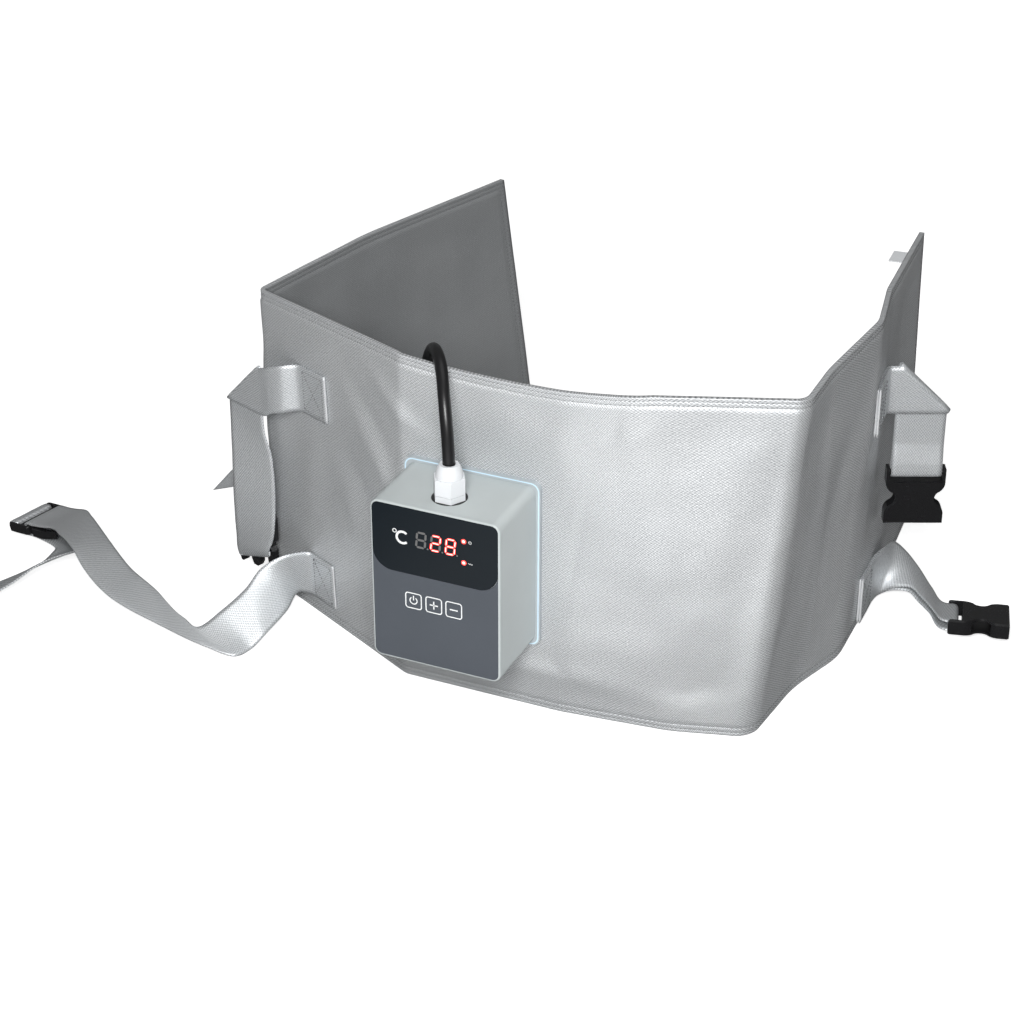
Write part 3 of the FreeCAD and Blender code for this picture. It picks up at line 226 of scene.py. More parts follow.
MATERIALS = {
    "cloth": silver_cloth("coated cloth", (0.97, 0.985, 0.995), (0.38, 0.395, 0.41), 1.7, 0.62, 0.55),
    "cloth_inside": silver_cloth("coated cloth inside", (0.60, 0.615, 0.625), (0.38, 0.395, 0.405), 1.4,
                                 0.6, 0.5),
    "webbing": silver_cloth("silver webbing", (0.95, 0.97, 0.98), (0.42, 0.44, 0.46), 1.7, 0.6, 0.5),
    "thread": moulded_plastic("sewing thread", (0.17, 0.175, 0.18), 0.7),
    "cut_edge": moulded_plastic("heat-cut edge", (0.58, 0.59, 0.60), 0.6),
    "case": moulded_plastic("grey ABS", (0.49, 0.53, 0.53), 0.38, coat=0.15),
    "plate": moulded_plastic("film-covered plate", (0.42, 0.46, 0.485), 0.4),
    "film": moulded_plastic("protective film edge", (0.62, 0.80, 0.92), 0.4),
    "window": moulded_plastic("smoked window", (0.008, 0.012, 0.016), 0.2, grain=0.01, specular=0.12),
    "label": moulded_plastic("slate label", (0.080, 0.090, 0.106), 0.5, grain=0.04, specular=0.2),
    "print": moulded_plastic("white print", (0.86, 0.88, 0.88), 0.5, grain=0.0),
    "unlit": moulded_plastic("unlit segment", (0.13, 0.13, 0.13), 0.4, grain=0.0),
    "lit": glowing("lit segment", (1.0, 0.05, 0.04), 2.6),
    "lit_core": glowing("lit segment core", (1.0, 0.55, 0.50), 2.0),
    "nylon": moulded_plastic("white nylon", (0.74, 0.76, 0.78), 0.4, grain=0.03),
    "rubber": moulded_plastic("black rubber", (0.016, 0.016, 0.017), 0.6),
    "cord": moulded_plastic("cord sheath", (0.010, 0.010, 0.011), 0.36, grain_scale=600.0, grain=0.08),
    "buckle": moulded_plastic("black acetal", (0.010, 0.010, 0.011), 0.27, grain_scale=700.0, grain=0.05),
    "felt": moulded_plastic("needled felt", (0.72, 0.70, 0.64), 0.95, grain_scale=300.0, grain=0.6),
    "silicone": moulded_plastic("red silicone", (0.50, 0.16, 0.08), 0.55),
    "board": moulded_plastic("circuit board", (0.03, 0.20, 0.09), 0.4, coat=0.3),
    "green": moulded_plastic("green terminal block", (0.06, 0.34, 0.14), 0.4),
    "blue": moulded_plastic("blue relay case", (0.05, 0.14, 0.42), 0.35),
    "module": moulded_plastic("potted module", (0.03, 0.03, 0.03), 0.5),
    "steel": metal("steel", (0.62, 0.62, 0.61), 0.28),
    "brass": metal("nickel-plated brass", (0.80, 0.76, 0.66), 0.22),
    "tag": moulded_plastic("woven tag", (0.80, 0.82, 0.84), 0.6, grain_scale=500.0, grain=0.4),
}

# Material of each CAD node that stays as it is
CAD_FINISH = {
    "case": "front_cover rear_shell", "plate": "mounting_plate", "window": "display_window",
    "label": "key_label", "unlit": "digit_module", "lit": "indicator_lamps",
    "board": "display_board power_board", "steel": "temperature_sensor touch_springs cover_screws",
    "module": "power_module", "blue": "relay", "green": "terminal_block",
    # The black rubber of gland_washer is partly a real seal and partly painted shade: its black makes the dark
    # ring round the gland's base, where the recess lies in shade.
    "nylon": "gland_body gland_dome_nut gland_locknut", "rubber": "gland_seal gland_washer lead_grommet",
    "silicone": "heater_lead", "brass": "plug_pins", "tag": "care_tag",
    "buckle": "plug_body male_buckle_lower male_buckle_upper female_buckle_upper female_buckle_lower"}
for finish, nodes in CAD_FINISH.items():
    for node in nodes.split():
        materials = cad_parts[node].data.materials
        materials.clear()
        materials.append(MATERIALS[finish])


# Pieces
def piece(name, points, faces, finish, slot, smooth=True, lay=None, body=BODY):
    """Mesh piece that rides on a body. Points are in drawn millimetres, and lay is how far each lies along and
    across its cloth."""
    mesh = bpy.data.meshes.new(name)
    vertices = np.reshape(points, (-1, 3)) * MM + np.array(DRAWN_FROM)
    mesh.from_pydata([tuple(v) for v in vertices], [], [tuple(f) for f in faces])
    mesh.validate()
    mesh.materials.append(MATERIALS[finish])
    if lay is not None:
        attribute = mesh.attributes.new("lay", "FLOAT_VECTOR", "POINT")
        attribute.data.foreach_set("vector", np.asarray(lay, dtype=np.float32).ravel())
    mesh.polygons.foreach_set("use_smooth", [smooth] * len(mesh.polygons))
    obj = in_scene(name, mesh)
    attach(obj, body)
    return obj


def tube_faces(rings, size, turned=False):
    """Faces between rings of points that follow one another."""
    faces = []
    for i in range(rings - 1):
        for j in range(size):
            a, b = i * size + j, i * size + (j + 1) % size
            faces.append((a, b, b + size, a + size) if turned else (a, a + size, b + size, b))
    return faces


def closed_sheet(near, far, turned=False):
    """Points and faces of a sheet between two grids of points, closed all round."""
    points = np.concatenate([near, far[:, ::-1]], axis=1)
    rings, size = points.shape[:2]
    faces = tube_faces(rings, size, turned)
    for base, flipped in ((0, turned), ((rings - 1) * size, not turned)):
        for j in range(size // 2 - 1):
            face = (base + j, base + j + 1, base + size - 2 - j, base + size - 1 - j)
            faces.append(tuple(reversed(face)) if flipped else face)
    return points, faces


# Mains cord and its put-away coil
CORD_DIAMETER = 8.0
CORD_ROUTE = [(0.7, -36.7, 164), (0.7, -36.7, 197), (-5, -30, 226), (-16, -11, 243.5), (-32, 13, 243.5),
              (-46, 33, 229), (-53, 37, 201), (-57, 33, 160), (-58.5, 30, 118), (-58.5, 28, 84),
              (-58.6, 30, 56), (-58.6, 38, 32), (-58.5, 54, 14), (-58.1, 76, 5.2), (-57.2, 98, 4.2)]
COIL_CENTRE = (0.0, 121.0)
COIL_OUT = 57.2
COIL_IN = 38.8
COIL_LOW = 4.2
COIL_HIGH = 12.4
COIL_TURNS = 2.25
COIL_TAIL = 23.0
POINTS_PER_TURN = 16


def coil_points():
    """Clockwise from above: in along the floor, up one diameter and out again on top."""
    count = int(COIL_TURNS * POINTS_PER_TURN)
    # A quadratic spline runs inside its corners, so they stand a little further out than the lane
    stretch = 2 / (1 + math.cos(math.pi / POINTS_PER_TURN))
    points = []
    for i in range(1, 2 * count):
        angle = math.pi - i * 2 * math.pi / POINTS_PER_TURN
        share = min(i, 2 * count - i) / count
        radius = (COIL_OUT + (COIL_IN - COIL_OUT) * share) * stretch
        rise = min(max((i - count) / 6 + 0.5, 0.0), 1.0)
        points.append((COIL_CENTRE[0] + radius * math.cos(angle), COIL_CENTRE[1] + radius * math.sin(angle),
                       COIL_LOW + (COIL_HIGH - COIL_LOW) * rise))
    return points


cord_points = CORD_ROUTE + [(-COIL_OUT, COIL_CENTRE[1], COIL_LOW)] + coil_points()
cord_points += [(COIL_OUT, COIL_CENTRE[1], COIL_HIGH), (COIL_OUT, COIL_CENTRE[1] - COIL_TAIL, COIL_HIGH)]
cord_curve = bpy.data.curves.new("mains_cord", "CURVE")
cord_curve.dimensions = "3D"
cord_curve.bevel_depth = CORD_DIAMETER / 2 * MM
cord_curve.bevel_resolution = 5
cord_curve.resolution_u = 8
cord_spline = cord_curve.splines.new("NURBS")
cord_spline.points.add(len(cord_points) - 1)
for point, place in zip(cord_spline.points, cord_points):
    point.co = (*at(*place), 1.0)
cord_spline.order_u = 3
cord_spline.use_endpoint_u = True
cord_curve.materials.append(MATERIALS["cord"])
cord = in_scene("mains_cord", cord_curve)
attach(cord, BODY)
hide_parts("power_cord", "cord_coil")


# Belt
BELT_HEIGHT = 240.0
BELT_THICK = 4.6
RIM_SAG = 5.0
RIM_SAG_FROM = -56.0
RIM_SAG_TO = 118.0
RIM_PLAN = [(-117, 300, 0), (-161, 166, 200), (-183, 51, 8), (-52, 0, 12), (62, 0, 120), (110, 5, 90),
            (208, 43, 12), (207.5, 90, 150), (215, 174, 40), (205, 225, 70), (197.5, 329, 0)]
FLOOR_PLAN = [(-95, 320, 0), (-170, 190, 90), (-197, 75, 9), (-52, 0, 12), (62, 0, 120), (136, 8, 90),
              (188, 23, 18), (194, 90, 120), (210, 140, 70), (208, 223, 90), (198, 343, 0)]
COLUMN_STEP = 3.0
STITCH_ROWS = (2.4, 5.6)
HEM_ROWS = [0.0, 0.6, 1.3, 2.0, 2.4, 2.8, 3.6, 4.6, 5.2, 5.6, 6.0, 6.8, 8.0, 9.6, 11.6]
ROW_STEP = 2.9


def unit(vector):
    return vector / np.linalg.norm(vector, axis=-1, keepdims=True)


def between(a, b, parts):
    return [a + (b - a) * part for part in parts]


def line(a, b):
    return lambda part: a + (b - a) * part


def corner_arc(before, corner, after, radius):
    """Arc that rounds a corner of a plan, as a function of a share from 0 to 1."""
    coming, going = unit(corner - before), unit(after - corner)
    turn = math.acos(float(np.clip(coming @ going, -1, 1)))
    side = np.sign(coming[0] * going[1] - coming[1] * going[0])
    start = corner - coming * radius * math.tan(turn / 2)
    centre = start + np.array([-coming[1], coming[0]]) * radius * side

    def arc(part):
        cos, sin = math.cos(turn * side * part), math.sin(turn * side * part)
        return centre + np.array([[cos, -sin], [sin, cos]]) @ (start - centre)

    return arc


def run_lengths(points):
    """Length from the first point to each one, along the array's first side."""
    steps = np.linalg.norm(np.diff(points, axis=0), axis=-1)
    return np.insert(np.cumsum(steps, axis=0), 0, 0, axis=0)


def facing(grid):
    """Unit vectors that stand out of a sheet of points, point by point."""
    return unit(np.cross(np.gradient(grid, axis=0), np.gradient(grid, axis=1)))


def plan_pieces(plan):
    """Lines and arcs of a plan with rounded corners, each as a function of a share from 0 to 1."""
    corners = np.array([(x, y) for x, y, _ in plan], dtype=float)
    pieces, cursor = [], corners[0]
    for i in range(1, len(plan) - 1):
        arc = corner_arc(*corners[i - 1:i + 2], plan[i][2])
        pieces += [line(cursor, arc(0)), arc]
        cursor = arc(1)
    return pieces + [line(cursor, corners[-1])]


def belt_columns():
    """Plan points of the outer face at the floor and at the rim, column by column from the left end."""
    low, high = [], []
    for floor, rim in zip(plan_pieces(FLOOR_PLAN), plan_pieces(RIM_PLAN)):
        length = np.linalg.norm(floor(0.5) - floor(0)) + np.linalg.norm(floor(1) - floor(0.5))
        length = max(length, np.linalg.norm(rim(1) - rim(0)))
        count = max(3, int(math.ceil(length / COLUMN_STEP)))
        for i in range(count):
            low.append(floor(i / count))
            high.append(rim(i / count))
    return np.array(low + [floor(1)]), np.array(high + [rim(1)])


def belt_rows():
    """Distances up the belt, close together in both hems."""
    middle = np.linspace(HEM_ROWS[-1], BELT_HEIGHT - HEM_ROWS[-1],
                         int((BELT_HEIGHT - 2 * HEM_ROWS[-1]) / ROW_STEP))[1:-1]
    return np.array(HEM_ROWS + list(middle) + [BELT_HEIGHT - low for low in reversed(HEM_ROWS)])


# Ridges and dents of the cloth: place along the belt from the box's middle, height, half length, half width,
# lean in degrees from level and how far it stands out, in millimetres
FOLDS = [(-62, 205, 34, 7, -38, 2.2), (-76, 180, 40, 8, -42, -1.8), (-70, 150, 44, 8, -48, 2.0),
         (-88, 120, 46, 9, -55, -1.8), (-96, 90, 42, 9, -60, 1.8), (-118, 60, 40, 10, -64, -1.4),
         (-150, 120, 70, 12, 82, 1.6), (-128, 200, 30, 9, 60, -1.2), (-185, 130, 60, 7, 88, 1.0),
         (66, 214, 46, 12, 60, 0.9), (110, 226, 16, 5, 55, -1.3), (120, 214, 26, 7, 35, 0.9),
         (60, 120, 44, 3.0, 74, 0.6), (68, 104, 46, 2.4, 80, -0.64), (62, 60, 30, 2.6, 70, 0.52),
         (90, 150, 60, 18, 70, 0.7), (140, 190, 70, 14, 62, -0.7), (168, 170, 90, 14, 78, 1.1),
         (186, 110, 110, 12, 84, -1.0), (120, 60, 60, 16, 40, 0.8), (150, 30, 34, 9, 12, -0.9),
         (205, 60, 50, 9, 80, 0.8), (40, 226, 30, 9, -20, -1.2), (10, 30, 60, 8, 4, 1.2),
         (95, 24, 40, 9, -10, 1.4), (260, 120, 70, 14, 80, 1.6), (300, 170, 50, 12, 70, -1.4),
         (350, 90, 70, 16, 84, 1.6), (-260, 130, 90, 12, 86, 1.8), (-300, 150, 80, 14, 80, -1.6),
         (-350, 110, 90, 20, 86, 1.6), (-410, 140, 70, 18, 84, -1.2)]
# Where the cloth lies flat under something: middle along and up, half length and half height
FLAT_PLACES = [(0, 110, 56, 70), (-150, 180, 26, 26), (-140, 31, 26, 26), (366, 171, 26, 26),
               (372, 23, 26, 26)]
FLAT_EDGE = 14.0
# Random waves of the cloth: their length and rise, and how many there are of each
WAVES = ((150, 0.9), (90, 0.42), (55, 0.2), (30, 0.09), (17, 0.05))
WAVES_EACH = 4
# Hem: how far each face is pressed in, how far from the edge that ends and over what width, then how far a
# row of stitches draws the face in and how wide that is
HEM_PRESS = 0.55
HEM_PRESS_END = 8.0
HEM_PRESS_EDGE = 1.6
STITCH_PULL = 0.3
STITCH_REACH = 0.5
# The cloth is calmer close to its edges
CALM_EDGE = 30.0
CALM_LEAST = 0.15
# Columns of the front panel: how far back they may lie where the rim sags, and how far to the side where
# lengths along the belt are counted from the box's middle
FRONT_DEPTH = 60.0
FRONT_HALF = 60.0


def unevenness(along, up):
    """How far the cloth stands out from its plan, in millimetres."""
    height = np.zeros_like(along)
    for s, z, length, width, lean, rise in FOLDS:
        cos, sin = math.cos(math.radians(lean)), math.sin(math.radians(lean))
        ds, dz = along - s, up - z
        height += rise * np.exp(-((ds * cos + dz * sin) / length) ** 2 - ((dz * cos - ds * sin) / width) ** 2)
    random = np.random.default_rng(7)
    for wave, rise in WAVES:
        for _ in range(WAVES_EACH):
            turn, phase = random.uniform(0, math.pi), random.uniform(0, 2 * math.pi)
            run = along * math.cos(turn) + up * math.sin(turn)
            height += rise / 2 * np.sin(run * 2 * math.pi / wave + phase)
    for s, z, half_s, half_z in FLAT_PLACES:
        outside = np.maximum(np.abs(along - s) - half_s, np.abs(up - z) - half_z)
        height *= np.clip(outside / FLAT_EDGE, 0, 1)
    return height


def hem_pinch(edge):
    """How far the two faces are drawn together at a distance from the belt's edge."""
    pinch = HEM_PRESS * np.clip((HEM_PRESS_END - edge) / HEM_PRESS_EDGE, 0, 1)
    for stitched in STITCH_ROWS:
        pinch += STITCH_PULL * np.exp(-((edge - stitched) / STITCH_REACH) ** 2)
    return pinch


low_plan, high_plan = belt_columns()
heights = belt_rows()
sag_middle, sag_half = (RIM_SAG_FROM + RIM_SAG_TO) / 2, (RIM_SAG_TO - RIM_SAG_FROM) / 2
columns, rows = len(low_plan), len(heights)
part_up = (heights / BELT_HEIGHT)[None, :, None]
outer = np.zeros((columns, rows, 3))
outer[:, :, :2] = low_plan[:, None, :] * (1 - part_up) + high_plan[:, None, :] * part_up
on_front = (np.abs(outer[:, -1, 0] - sag_middle) < sag_half) & (outer[:, -1, 1] < FRONT_DEPTH)
sag = np.where(on_front, RIM_SAG * (1 - ((outer[:, -1, 0] - sag_middle) / sag_half) ** 2), 0)
outer[:, :, 2] = heights[None, :] * (1 - sag[:, None] / BELT_HEIGHT)
middle_line = (low_plan + high_plan) / 2
length_along = run_lengths(middle_line)
zero = np.interp(0.0, *[values[(middle_line[:, 1] < 1) & (np.abs(middle_line[:, 0]) < FRONT_HALF)]
                        for values in (middle_line[:, 0], length_along)])
length_along -= zero
out_of = facing(outer)
along_grid = np.repeat(length_along[:, None], rows, axis=1)
up_grid = np.repeat(heights[None, :], columns, axis=0)
edge_grid = np.minimum(np.minimum(up_grid, BELT_HEIGHT - up_grid),
                       np.minimum(along_grid - length_along[0], length_along[-1] - along_grid))
relief = unevenness(along_grid, up_grid) * np.clip(edge_grid / CALM_EDGE, CALM_LEAST, 1)
pinch = hem_pinch(edge_grid)
front_face = outer + out_of * (relief - pinch)[..., None]
back_face = outer + out_of * (relief - BELT_THICK + pinch)[..., None]


# Where the points of the fold over an edge lie between its two faces, and how far the weave runs on there
FOLD_PARTS = (0.15, 0.5, 0.85)
FOLD_LAY = 2.0


def belt_skin():
    """Closed skin: the outer side, a fold over each edge and the inner side, in rings across the belt."""
    folded = len(FOLD_PARTS)
    rings, lays = [], []
    lay_up = list(heights) + [BELT_HEIGHT + FOLD_LAY] * folded + list(heights[::-1]) + [-FOLD_LAY] * folded
    for i in range(columns):
        top = between(front_face[i, -1], back_face[i, -1], FOLD_PARTS)
        foot = between(back_face[i, 0], front_face[i, 0], FOLD_PARTS)
        rings.append(list(front_face[i]) + top + list(back_face[i, ::-1]) + foot)
        lays.append([(length_along[i], z, 0) for z in lay_up])
    size = len(rings[0])
    faces = tube_faces(columns, size)
    for i in (0, columns - 1):
        base = i * size
        loop = []
        for j in range(rows - 1):
            front, back = base + j, base + rows + folded + (rows - 1 - j)
            loop.append((front, front + 1, back - 1, back))
        loop.append(tuple(range(base + rows - 1, base + rows + folded + 1)))
        loop.append(tuple(range(base + 2 * rows + folded - 1, base + size)) + (base,))
        faces += [face if i == 0 else tuple(reversed(face)) for face in loop]
    return rings, faces, lays


points, faces, lay = belt_skin()
belt = piece("belt_cloth", points, faces, "cloth", "coated_cloth", lay=lay)
inside_slot = len(belt.data.materials)
belt.data.materials.append(MATERIALS["cloth_inside"])
fold_points = len(FOLD_PARTS)
ring_size = 2 * (rows + fold_points)
face_side = np.zeros(len(belt.data.polygons), dtype=np.int32)
for index, face in enumerate(faces[:(columns - 1) * ring_size]):
    if rows + fold_points <= index % ring_size + 1 < 2 * rows + fold_points:
        face_side[index] = inside_slot
belt.data.polygons.foreach_set("material_index", face_side)
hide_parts("outer_cloth", "inner_cloth")

# Felt and heater mat between the two cloths, with the cloth's own unevenness
HEM = 12.0
FELT_DEPTHS = (0.95, 2.5)
HEATER_DEPTHS = (2.65, 3.65)


def inner_layer(name, depths, margin, finish, slot):
    """Closed layer inside the belt between two depths from its outer face."""
    in_rows = np.where((heights >= margin) & (heights <= BELT_HEIGHT - margin))[0]
    ends = np.minimum(length_along - length_along[0], length_along[-1] - length_along)
    in_columns = np.where(ends >= margin)[0]
    pick = np.ix_(in_columns, in_rows)
    near = outer[pick] + out_of[pick] * (relief[pick] - depths[0])[..., None]
    far = outer[pick] + out_of[pick] * (relief[pick] - depths[1])[..., None]
    obj = piece(name, *closed_sheet(near, far), finish, slot)
    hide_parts(name)


inner_layer("insulation_felt", FELT_DEPTHS, HEM + 0.5, "felt", "felt")
inner_layer("heater_mat", HEATER_DEPTHS, HEM + 3.0, "silicone", "heater_silicone")


# Stitches
class Stitches:
    """Many short stitches gathered in one mesh. Each is a slim six-pointed grain of thread."""

    def __init__(self):
        self.vertices, self.faces = [], []

    def add(self, start, end, out, width=0.42, lift=0.3):
        along = end - start
        side = unit(np.cross(along, out))
        middle = (start + end) / 2 + out * lift * 0.5
        base = len(self.vertices)
        self.vertices += [start, middle + side * width / 2, middle + out * lift, middle - side * width / 2,
                          middle - out * lift, end]
        for k in range(4):
            a, b = 1 + k, 1 + (k + 1) % 4
            self.faces.append((base, base + b, base + a))
            self.faces.append((base + 5, base + a, base + b))

    def run(self, points, outs, step=3.0, gap=0.22):
        """Stitches along a line of points, each with its own direction out of the cloth."""
        points, outs = np.asarray(points), np.asarray(outs)
        lengths = run_lengths(points)
        count = max(1, int(lengths[-1] / step))
        marks = np.linspace(0, lengths[-1], count + 1)

        def spot(values, place):
            return np.array([np.interp(place, lengths, values[:, k]) for k in range(3)])

        for a, b in zip(marks[:-1], marks[1:]):
            inset = (b - a) * gap / 2
            out = unit(spot(outs, (a + b) / 2))
            self.add(spot(points, a + inset), spot(points, b - inset), out)

    def finish(self, name, finish="thread", slot="coated_cloth"):
        return piece(name, self.vertices, self.faces, finish, slot)


hem_thread = Stitches()
for hem in STITCH_ROWS:
    foot_row = HEM_ROWS.index(hem)
    for level in (foot_row, rows - 1 - foot_row):
        hem_thread.run(front_face[:, level], out_of[:, level])
        hem_thread.run(back_face[:, level], -out_of[:, level])
    for end, inward in ((0, 1), (columns - 1, -1)):
        column = end
        while abs(length_along[column] - length_along[end]) < hem:
            column += inward
        inner = slice(foot_row, rows - foot_row)
        hem_thread.run(front_face[column, inner], out_of[column, inner])
        hem_thread.run(back_face[column, inner], -out_of[column, inner])
hem_thread.finish("hem_stitching")

# Webbing straps
WEB_WIDTH = 35.0
WEB_THICK = 1.4
WEB_GAP = 0.25
FOLD_RADIUS = 1.0
PATCH_LENGTH = 26.0
PATCH_GAP = 0.5
FREE_LEAD = 6.0
UPPER_LEFT_PATCH = (2, 0.405, 180.0)
LOWER_LEFT_PATCH = (2, 0.425, 31.0)
UPPER_RIGHT_PATCH = (8, 0.42, 171.0)
LOWER_RIGHT_PATCH = (8, 0.62, 23.0)
# Lower left strap: middle of the webbing at each station, then bearing and tilt of its width
LOWER_LEFT_ARM = [(-157, 37, 34, -108, 76), (-163, 20, 29, 172, 56), (-168, 0, 20, 150, 40),
                  (-176, -13, 11, 160, 33), (-184, -26, 7, 165, 18), (-203, -25, 10, 150, 14),
                  (-237, -14, 14, 125, 14), (-277, -2, 20, 95, 6), (-301, 12, 25, 86, 2),
                  (-321, 28, 27.5, 84, -6), (-343, 46, 25, 80, -3),
                  (-358, 58.5, 20.5, 77, -1), (-368.8, 61.9, 17, 76, 0)]
LOWER_LEFT_TAIL = [(-352, 55, 5.5, 70, -4), (-341, 40, 8.5, 30, 8), (-343, 20, 12, -4, 30),
                   (-350, 0, 12.5, -16, 36), (-361, -26, 9.5, -24, 26), (-378, -64, 5.8, -25, 14)]
LOWER_LEFT_BUCKLE = (-389, 67, 9)
LOWER_LEFT_BEARING = -14.0
LOWER_LEFT_PITCH = 8.0
# Upper left strap: its fold, the stations before it, then stations across, out and down from the fold's upper
# end with the tilt of the width, and in some how far the width is turned
UPPER_LEFT_FOLD = (-178, 40.5, 188)
UPPER_LEFT_BEARING = 158.8
UPPER_LEFT_ARM = [(-158, 33.5, 178.5, 90, 90), (-167, 34.5, 175.5, 90, 90)]
UPPER_LEFT_HANG = [(14.0, -1, 70, 0, 12), (14.4, -1, 110, -1, 15), (16.4, -1, 138, -8, 8),
                   (19.6, -1.4, 152, -16), (20.8, -3.5, 156.5, -20), (22.4, -5.4, 153, -13),
                   (23.8, -5.5, 149.5, -5)]
UPPER_LEFT_BUCKLE = (25.0, -10.0, 134.5)
UPPER_LEFT_THREAD_END = 20.0
UPPER_LEFT_TAIL = [(26, -8.2, 109, -7), (32, -8.6, 107, -20), (43, -8, 108, -34), (57, -7, 110.5, -47)]
# Right straps
UPPER_RIGHT_FOLD = (215.4, 219.3, 188.5)
UPPER_RIGHT_BEARING = 24.2
UPPER_RIGHT_BEND = 5.0
UPPER_RIGHT_DROP = 82.0
LOWER_RIGHT_BUCKLE = (271.0, 208.4, 9.5)
LOWER_RIGHT_BEARING = 14.0
LOWER_RIGHT_ROLL = -10.0
LOWER_RIGHT_UNDER = [(212.4, 231.5, 21, 98, 74), (216, 240, 19.5, 108, 38), (226, 242, 16, 112, 15),
                     (238, 236, 10, 108, 4), (249, 226, 7.2, 105, -5)]
LOWER_RIGHT_OVER = [(214, 230, 23.5, 98, 76), (218, 237, 24, 108, 42), (228, 239, 22, 112, 18),
                    (240, 232, 17, 108, 5), (251, 222, 13.5, 105, -6)]
# Threading of a ladder-lock buckle, along it and over it from its middle bar, and the webbing's turn round
# the bar of a receiver
THREAD_START = 12.0
THREAD_RADIUS = 1.3
OVER_WALL = 4.45
OVER_BAR = 2.65
NEAR_SLOT = 2.5
FAR_SLOT = -7.4
PAST_BAR = -13.95
UNDER_BAR = -4.5
BAR_LOOP = 3.1
LOOP_START = -5.0
FOLD_LEAD = 4.0
HANG_SPREAD = 22.0
ROW_SPACING = 2.2
ACROSS_POINTS = 13
# Rows that turn to a diagonal fold, which start a little ahead of its corner, and rows over the fold
LEVEL_START = 1.0
TURNING_ROWS = 16
OVER_ROWS = 9
ARC_ROWS = 7
LEAST_SPAN = 0.05
LOOP_RADIUS = BAR_LOOP - 0.05
LOOP_LEAD = 7.0
HANG_RADIUS = 12.0
WALL_RADIUS = 1.9
PATCH_ROWS = 11
PATCH_SEAM_INSET = 3.0
PATCH_STITCH = 2.6
STITCH_SEAT = 0.05
# Ripples of the webbing: their lengths along it, their rise and half their width across it
RIPPLES = (70, 41, 23)
RIPPLE_RISE = 0.05
RIPPLE_ACROSS = 28
# The selvedge is thinner: by what share, and how far in
SELVEDGE_THINNER = 0.35
SELVEDGE_REACH = 1.2
UP = np.array([0.0, 0.0, 1.0])


def heading(degrees, tilt=0.0):
    turn, lift = math.radians(degrees), math.radians(tilt)
    return np.array([math.cos(turn) * math.cos(lift), math.sin(turn) * math.cos(lift), math.sin(lift)])


def row(middle, width):
    """One row of webbing: its two selvedges."""
    middle, width = np.asarray(middle, dtype=float), np.asarray(width, dtype=float)
    return np.array([middle - width * WEB_WIDTH / 2, middle + width * WEB_WIDTH / 2])


def listed(stations):
    return [row((x, y, z), heading(turn, tilt)) for x, y, z, turn, tilt in stations]


def sewn(place, towards, number):
    """Rows of one layer of a sewn patch from its cut end to where the webbing leaves the belt, with the
    direction of the run, the way up and the way out."""
    run, share_along, height = place

    def corner(index, z):
        low, high = np.array(FLOOR_PLAN[index][:2] + (0,)), np.array(RIM_PLAN[index][:2] + (BELT_HEIGHT,))
        return low + (high - low) * z / BELT_HEIGHT

    def on_belt(z):
        return corner(run, z) + (corner(run + 1, z) - corner(run, z)) * share_along

    point = on_belt(height)
    along = unit((corner(run + 1, height) - corner(run, height)) * np.array([1, 1, 0]))
    out = unit(np.cross(along, on_belt(BELT_HEIGHT) - on_belt(0)))
    upwards = np.cross(out, along)
    middle = point + out * (PATCH_GAP + WEB_THICK / 2 + number * (WEB_THICK + WEB_GAP))
    steps = np.linspace(-PATCH_LENGTH / 2, PATCH_LENGTH / 2, PATCH_ROWS) * towards
    return [row(middle + along * step, upwards) for step in steps], along * towards, upwards, out


def rounded_path(points, radii):
    """Plan of a path with rounded corners, closely spaced on its arcs."""
    corners = [np.array(p, dtype=float) for p in points]
    path = [corners[0]]
    for i in range(1, len(corners) - 1):
        arc = corner_arc(*corners[i - 1:i + 2], radii[i])
        path += [arc(k / (ARC_ROWS - 1)) for k in range(ARC_ROWS)]
    return path + [corners[-1]]


def band(points, radii, origin, along, over, width):
    """Rows of webbing that follows a path in the plane of along and over."""
    return [row(origin + along * a + over * b, width) for a, b in rounded_path(points, radii)]


def turned_down(corner, away, out, radius):
    """Rows round a diagonal fold, whose upper end is corner: the level layer turns to the diagonal, runs over
    the fold and hangs behind, where it turns level again."""
    tip = corner + away * WEB_WIDTH - UP * WEB_WIDTH
    diagonal = np.array([tip, corner])
    beyond = unit(away + UP)
    level = np.array([corner - UP * WEB_WIDTH, corner]) - away * LEVEL_START + out * radius
    hung = np.array([tip - UP * FOLD_LEAD, corner - UP * (WEB_WIDTH + FOLD_LEAD)]) - out * radius
    parts = np.linspace(0, 1, TURNING_ROWS)
    rows_round = between(level, diagonal + out * radius, parts[:-1])
    for angle in np.linspace(0, math.pi, OVER_ROWS):
        rows_round.append(diagonal + beyond * radius * math.sin(angle) + out * radius * math.cos(angle))
    return rows_round + between(diagonal - out * radius, hung, parts[1:])


def smooth_rows(rows_in):
    """Rows at close spacing on a curve through the given ones."""
    given = [np.asarray(r, dtype=float) for r in rows_in]
    middles = [r.mean(axis=0) for r in given]
    chord = [max(np.linalg.norm(b - a), LEAST_SPAN) for a, b in zip(middles, middles[1:])]
    straight = [(b - a) / span for a, b, span in zip(given, given[1:], chord)]
    slopes = [straight[0]]
    for i in range(1, len(chord)):
        mixed = straight[i - 1] * chord[i] + straight[i] * chord[i - 1]
        slopes.append(mixed / (chord[i] + chord[i - 1]))
    slopes.append(straight[-1])
    result = []
    for i, span in enumerate(chord):
        count = max(1, int(round(span / ROW_SPACING)))
        for k in range(count):
            t = k / count
            near = given[i] * (2 * t ** 3 - 3 * t ** 2 + 1) + slopes[i] * span * (t ** 3 - 2 * t ** 2 + t)
            far = given[i + 1] * (3 * t ** 2 - 2 * t ** 3) + slopes[i + 1] * span * (t ** 3 - t ** 2)
            result.append(near + far)
    return np.array(result + [given[-1]])


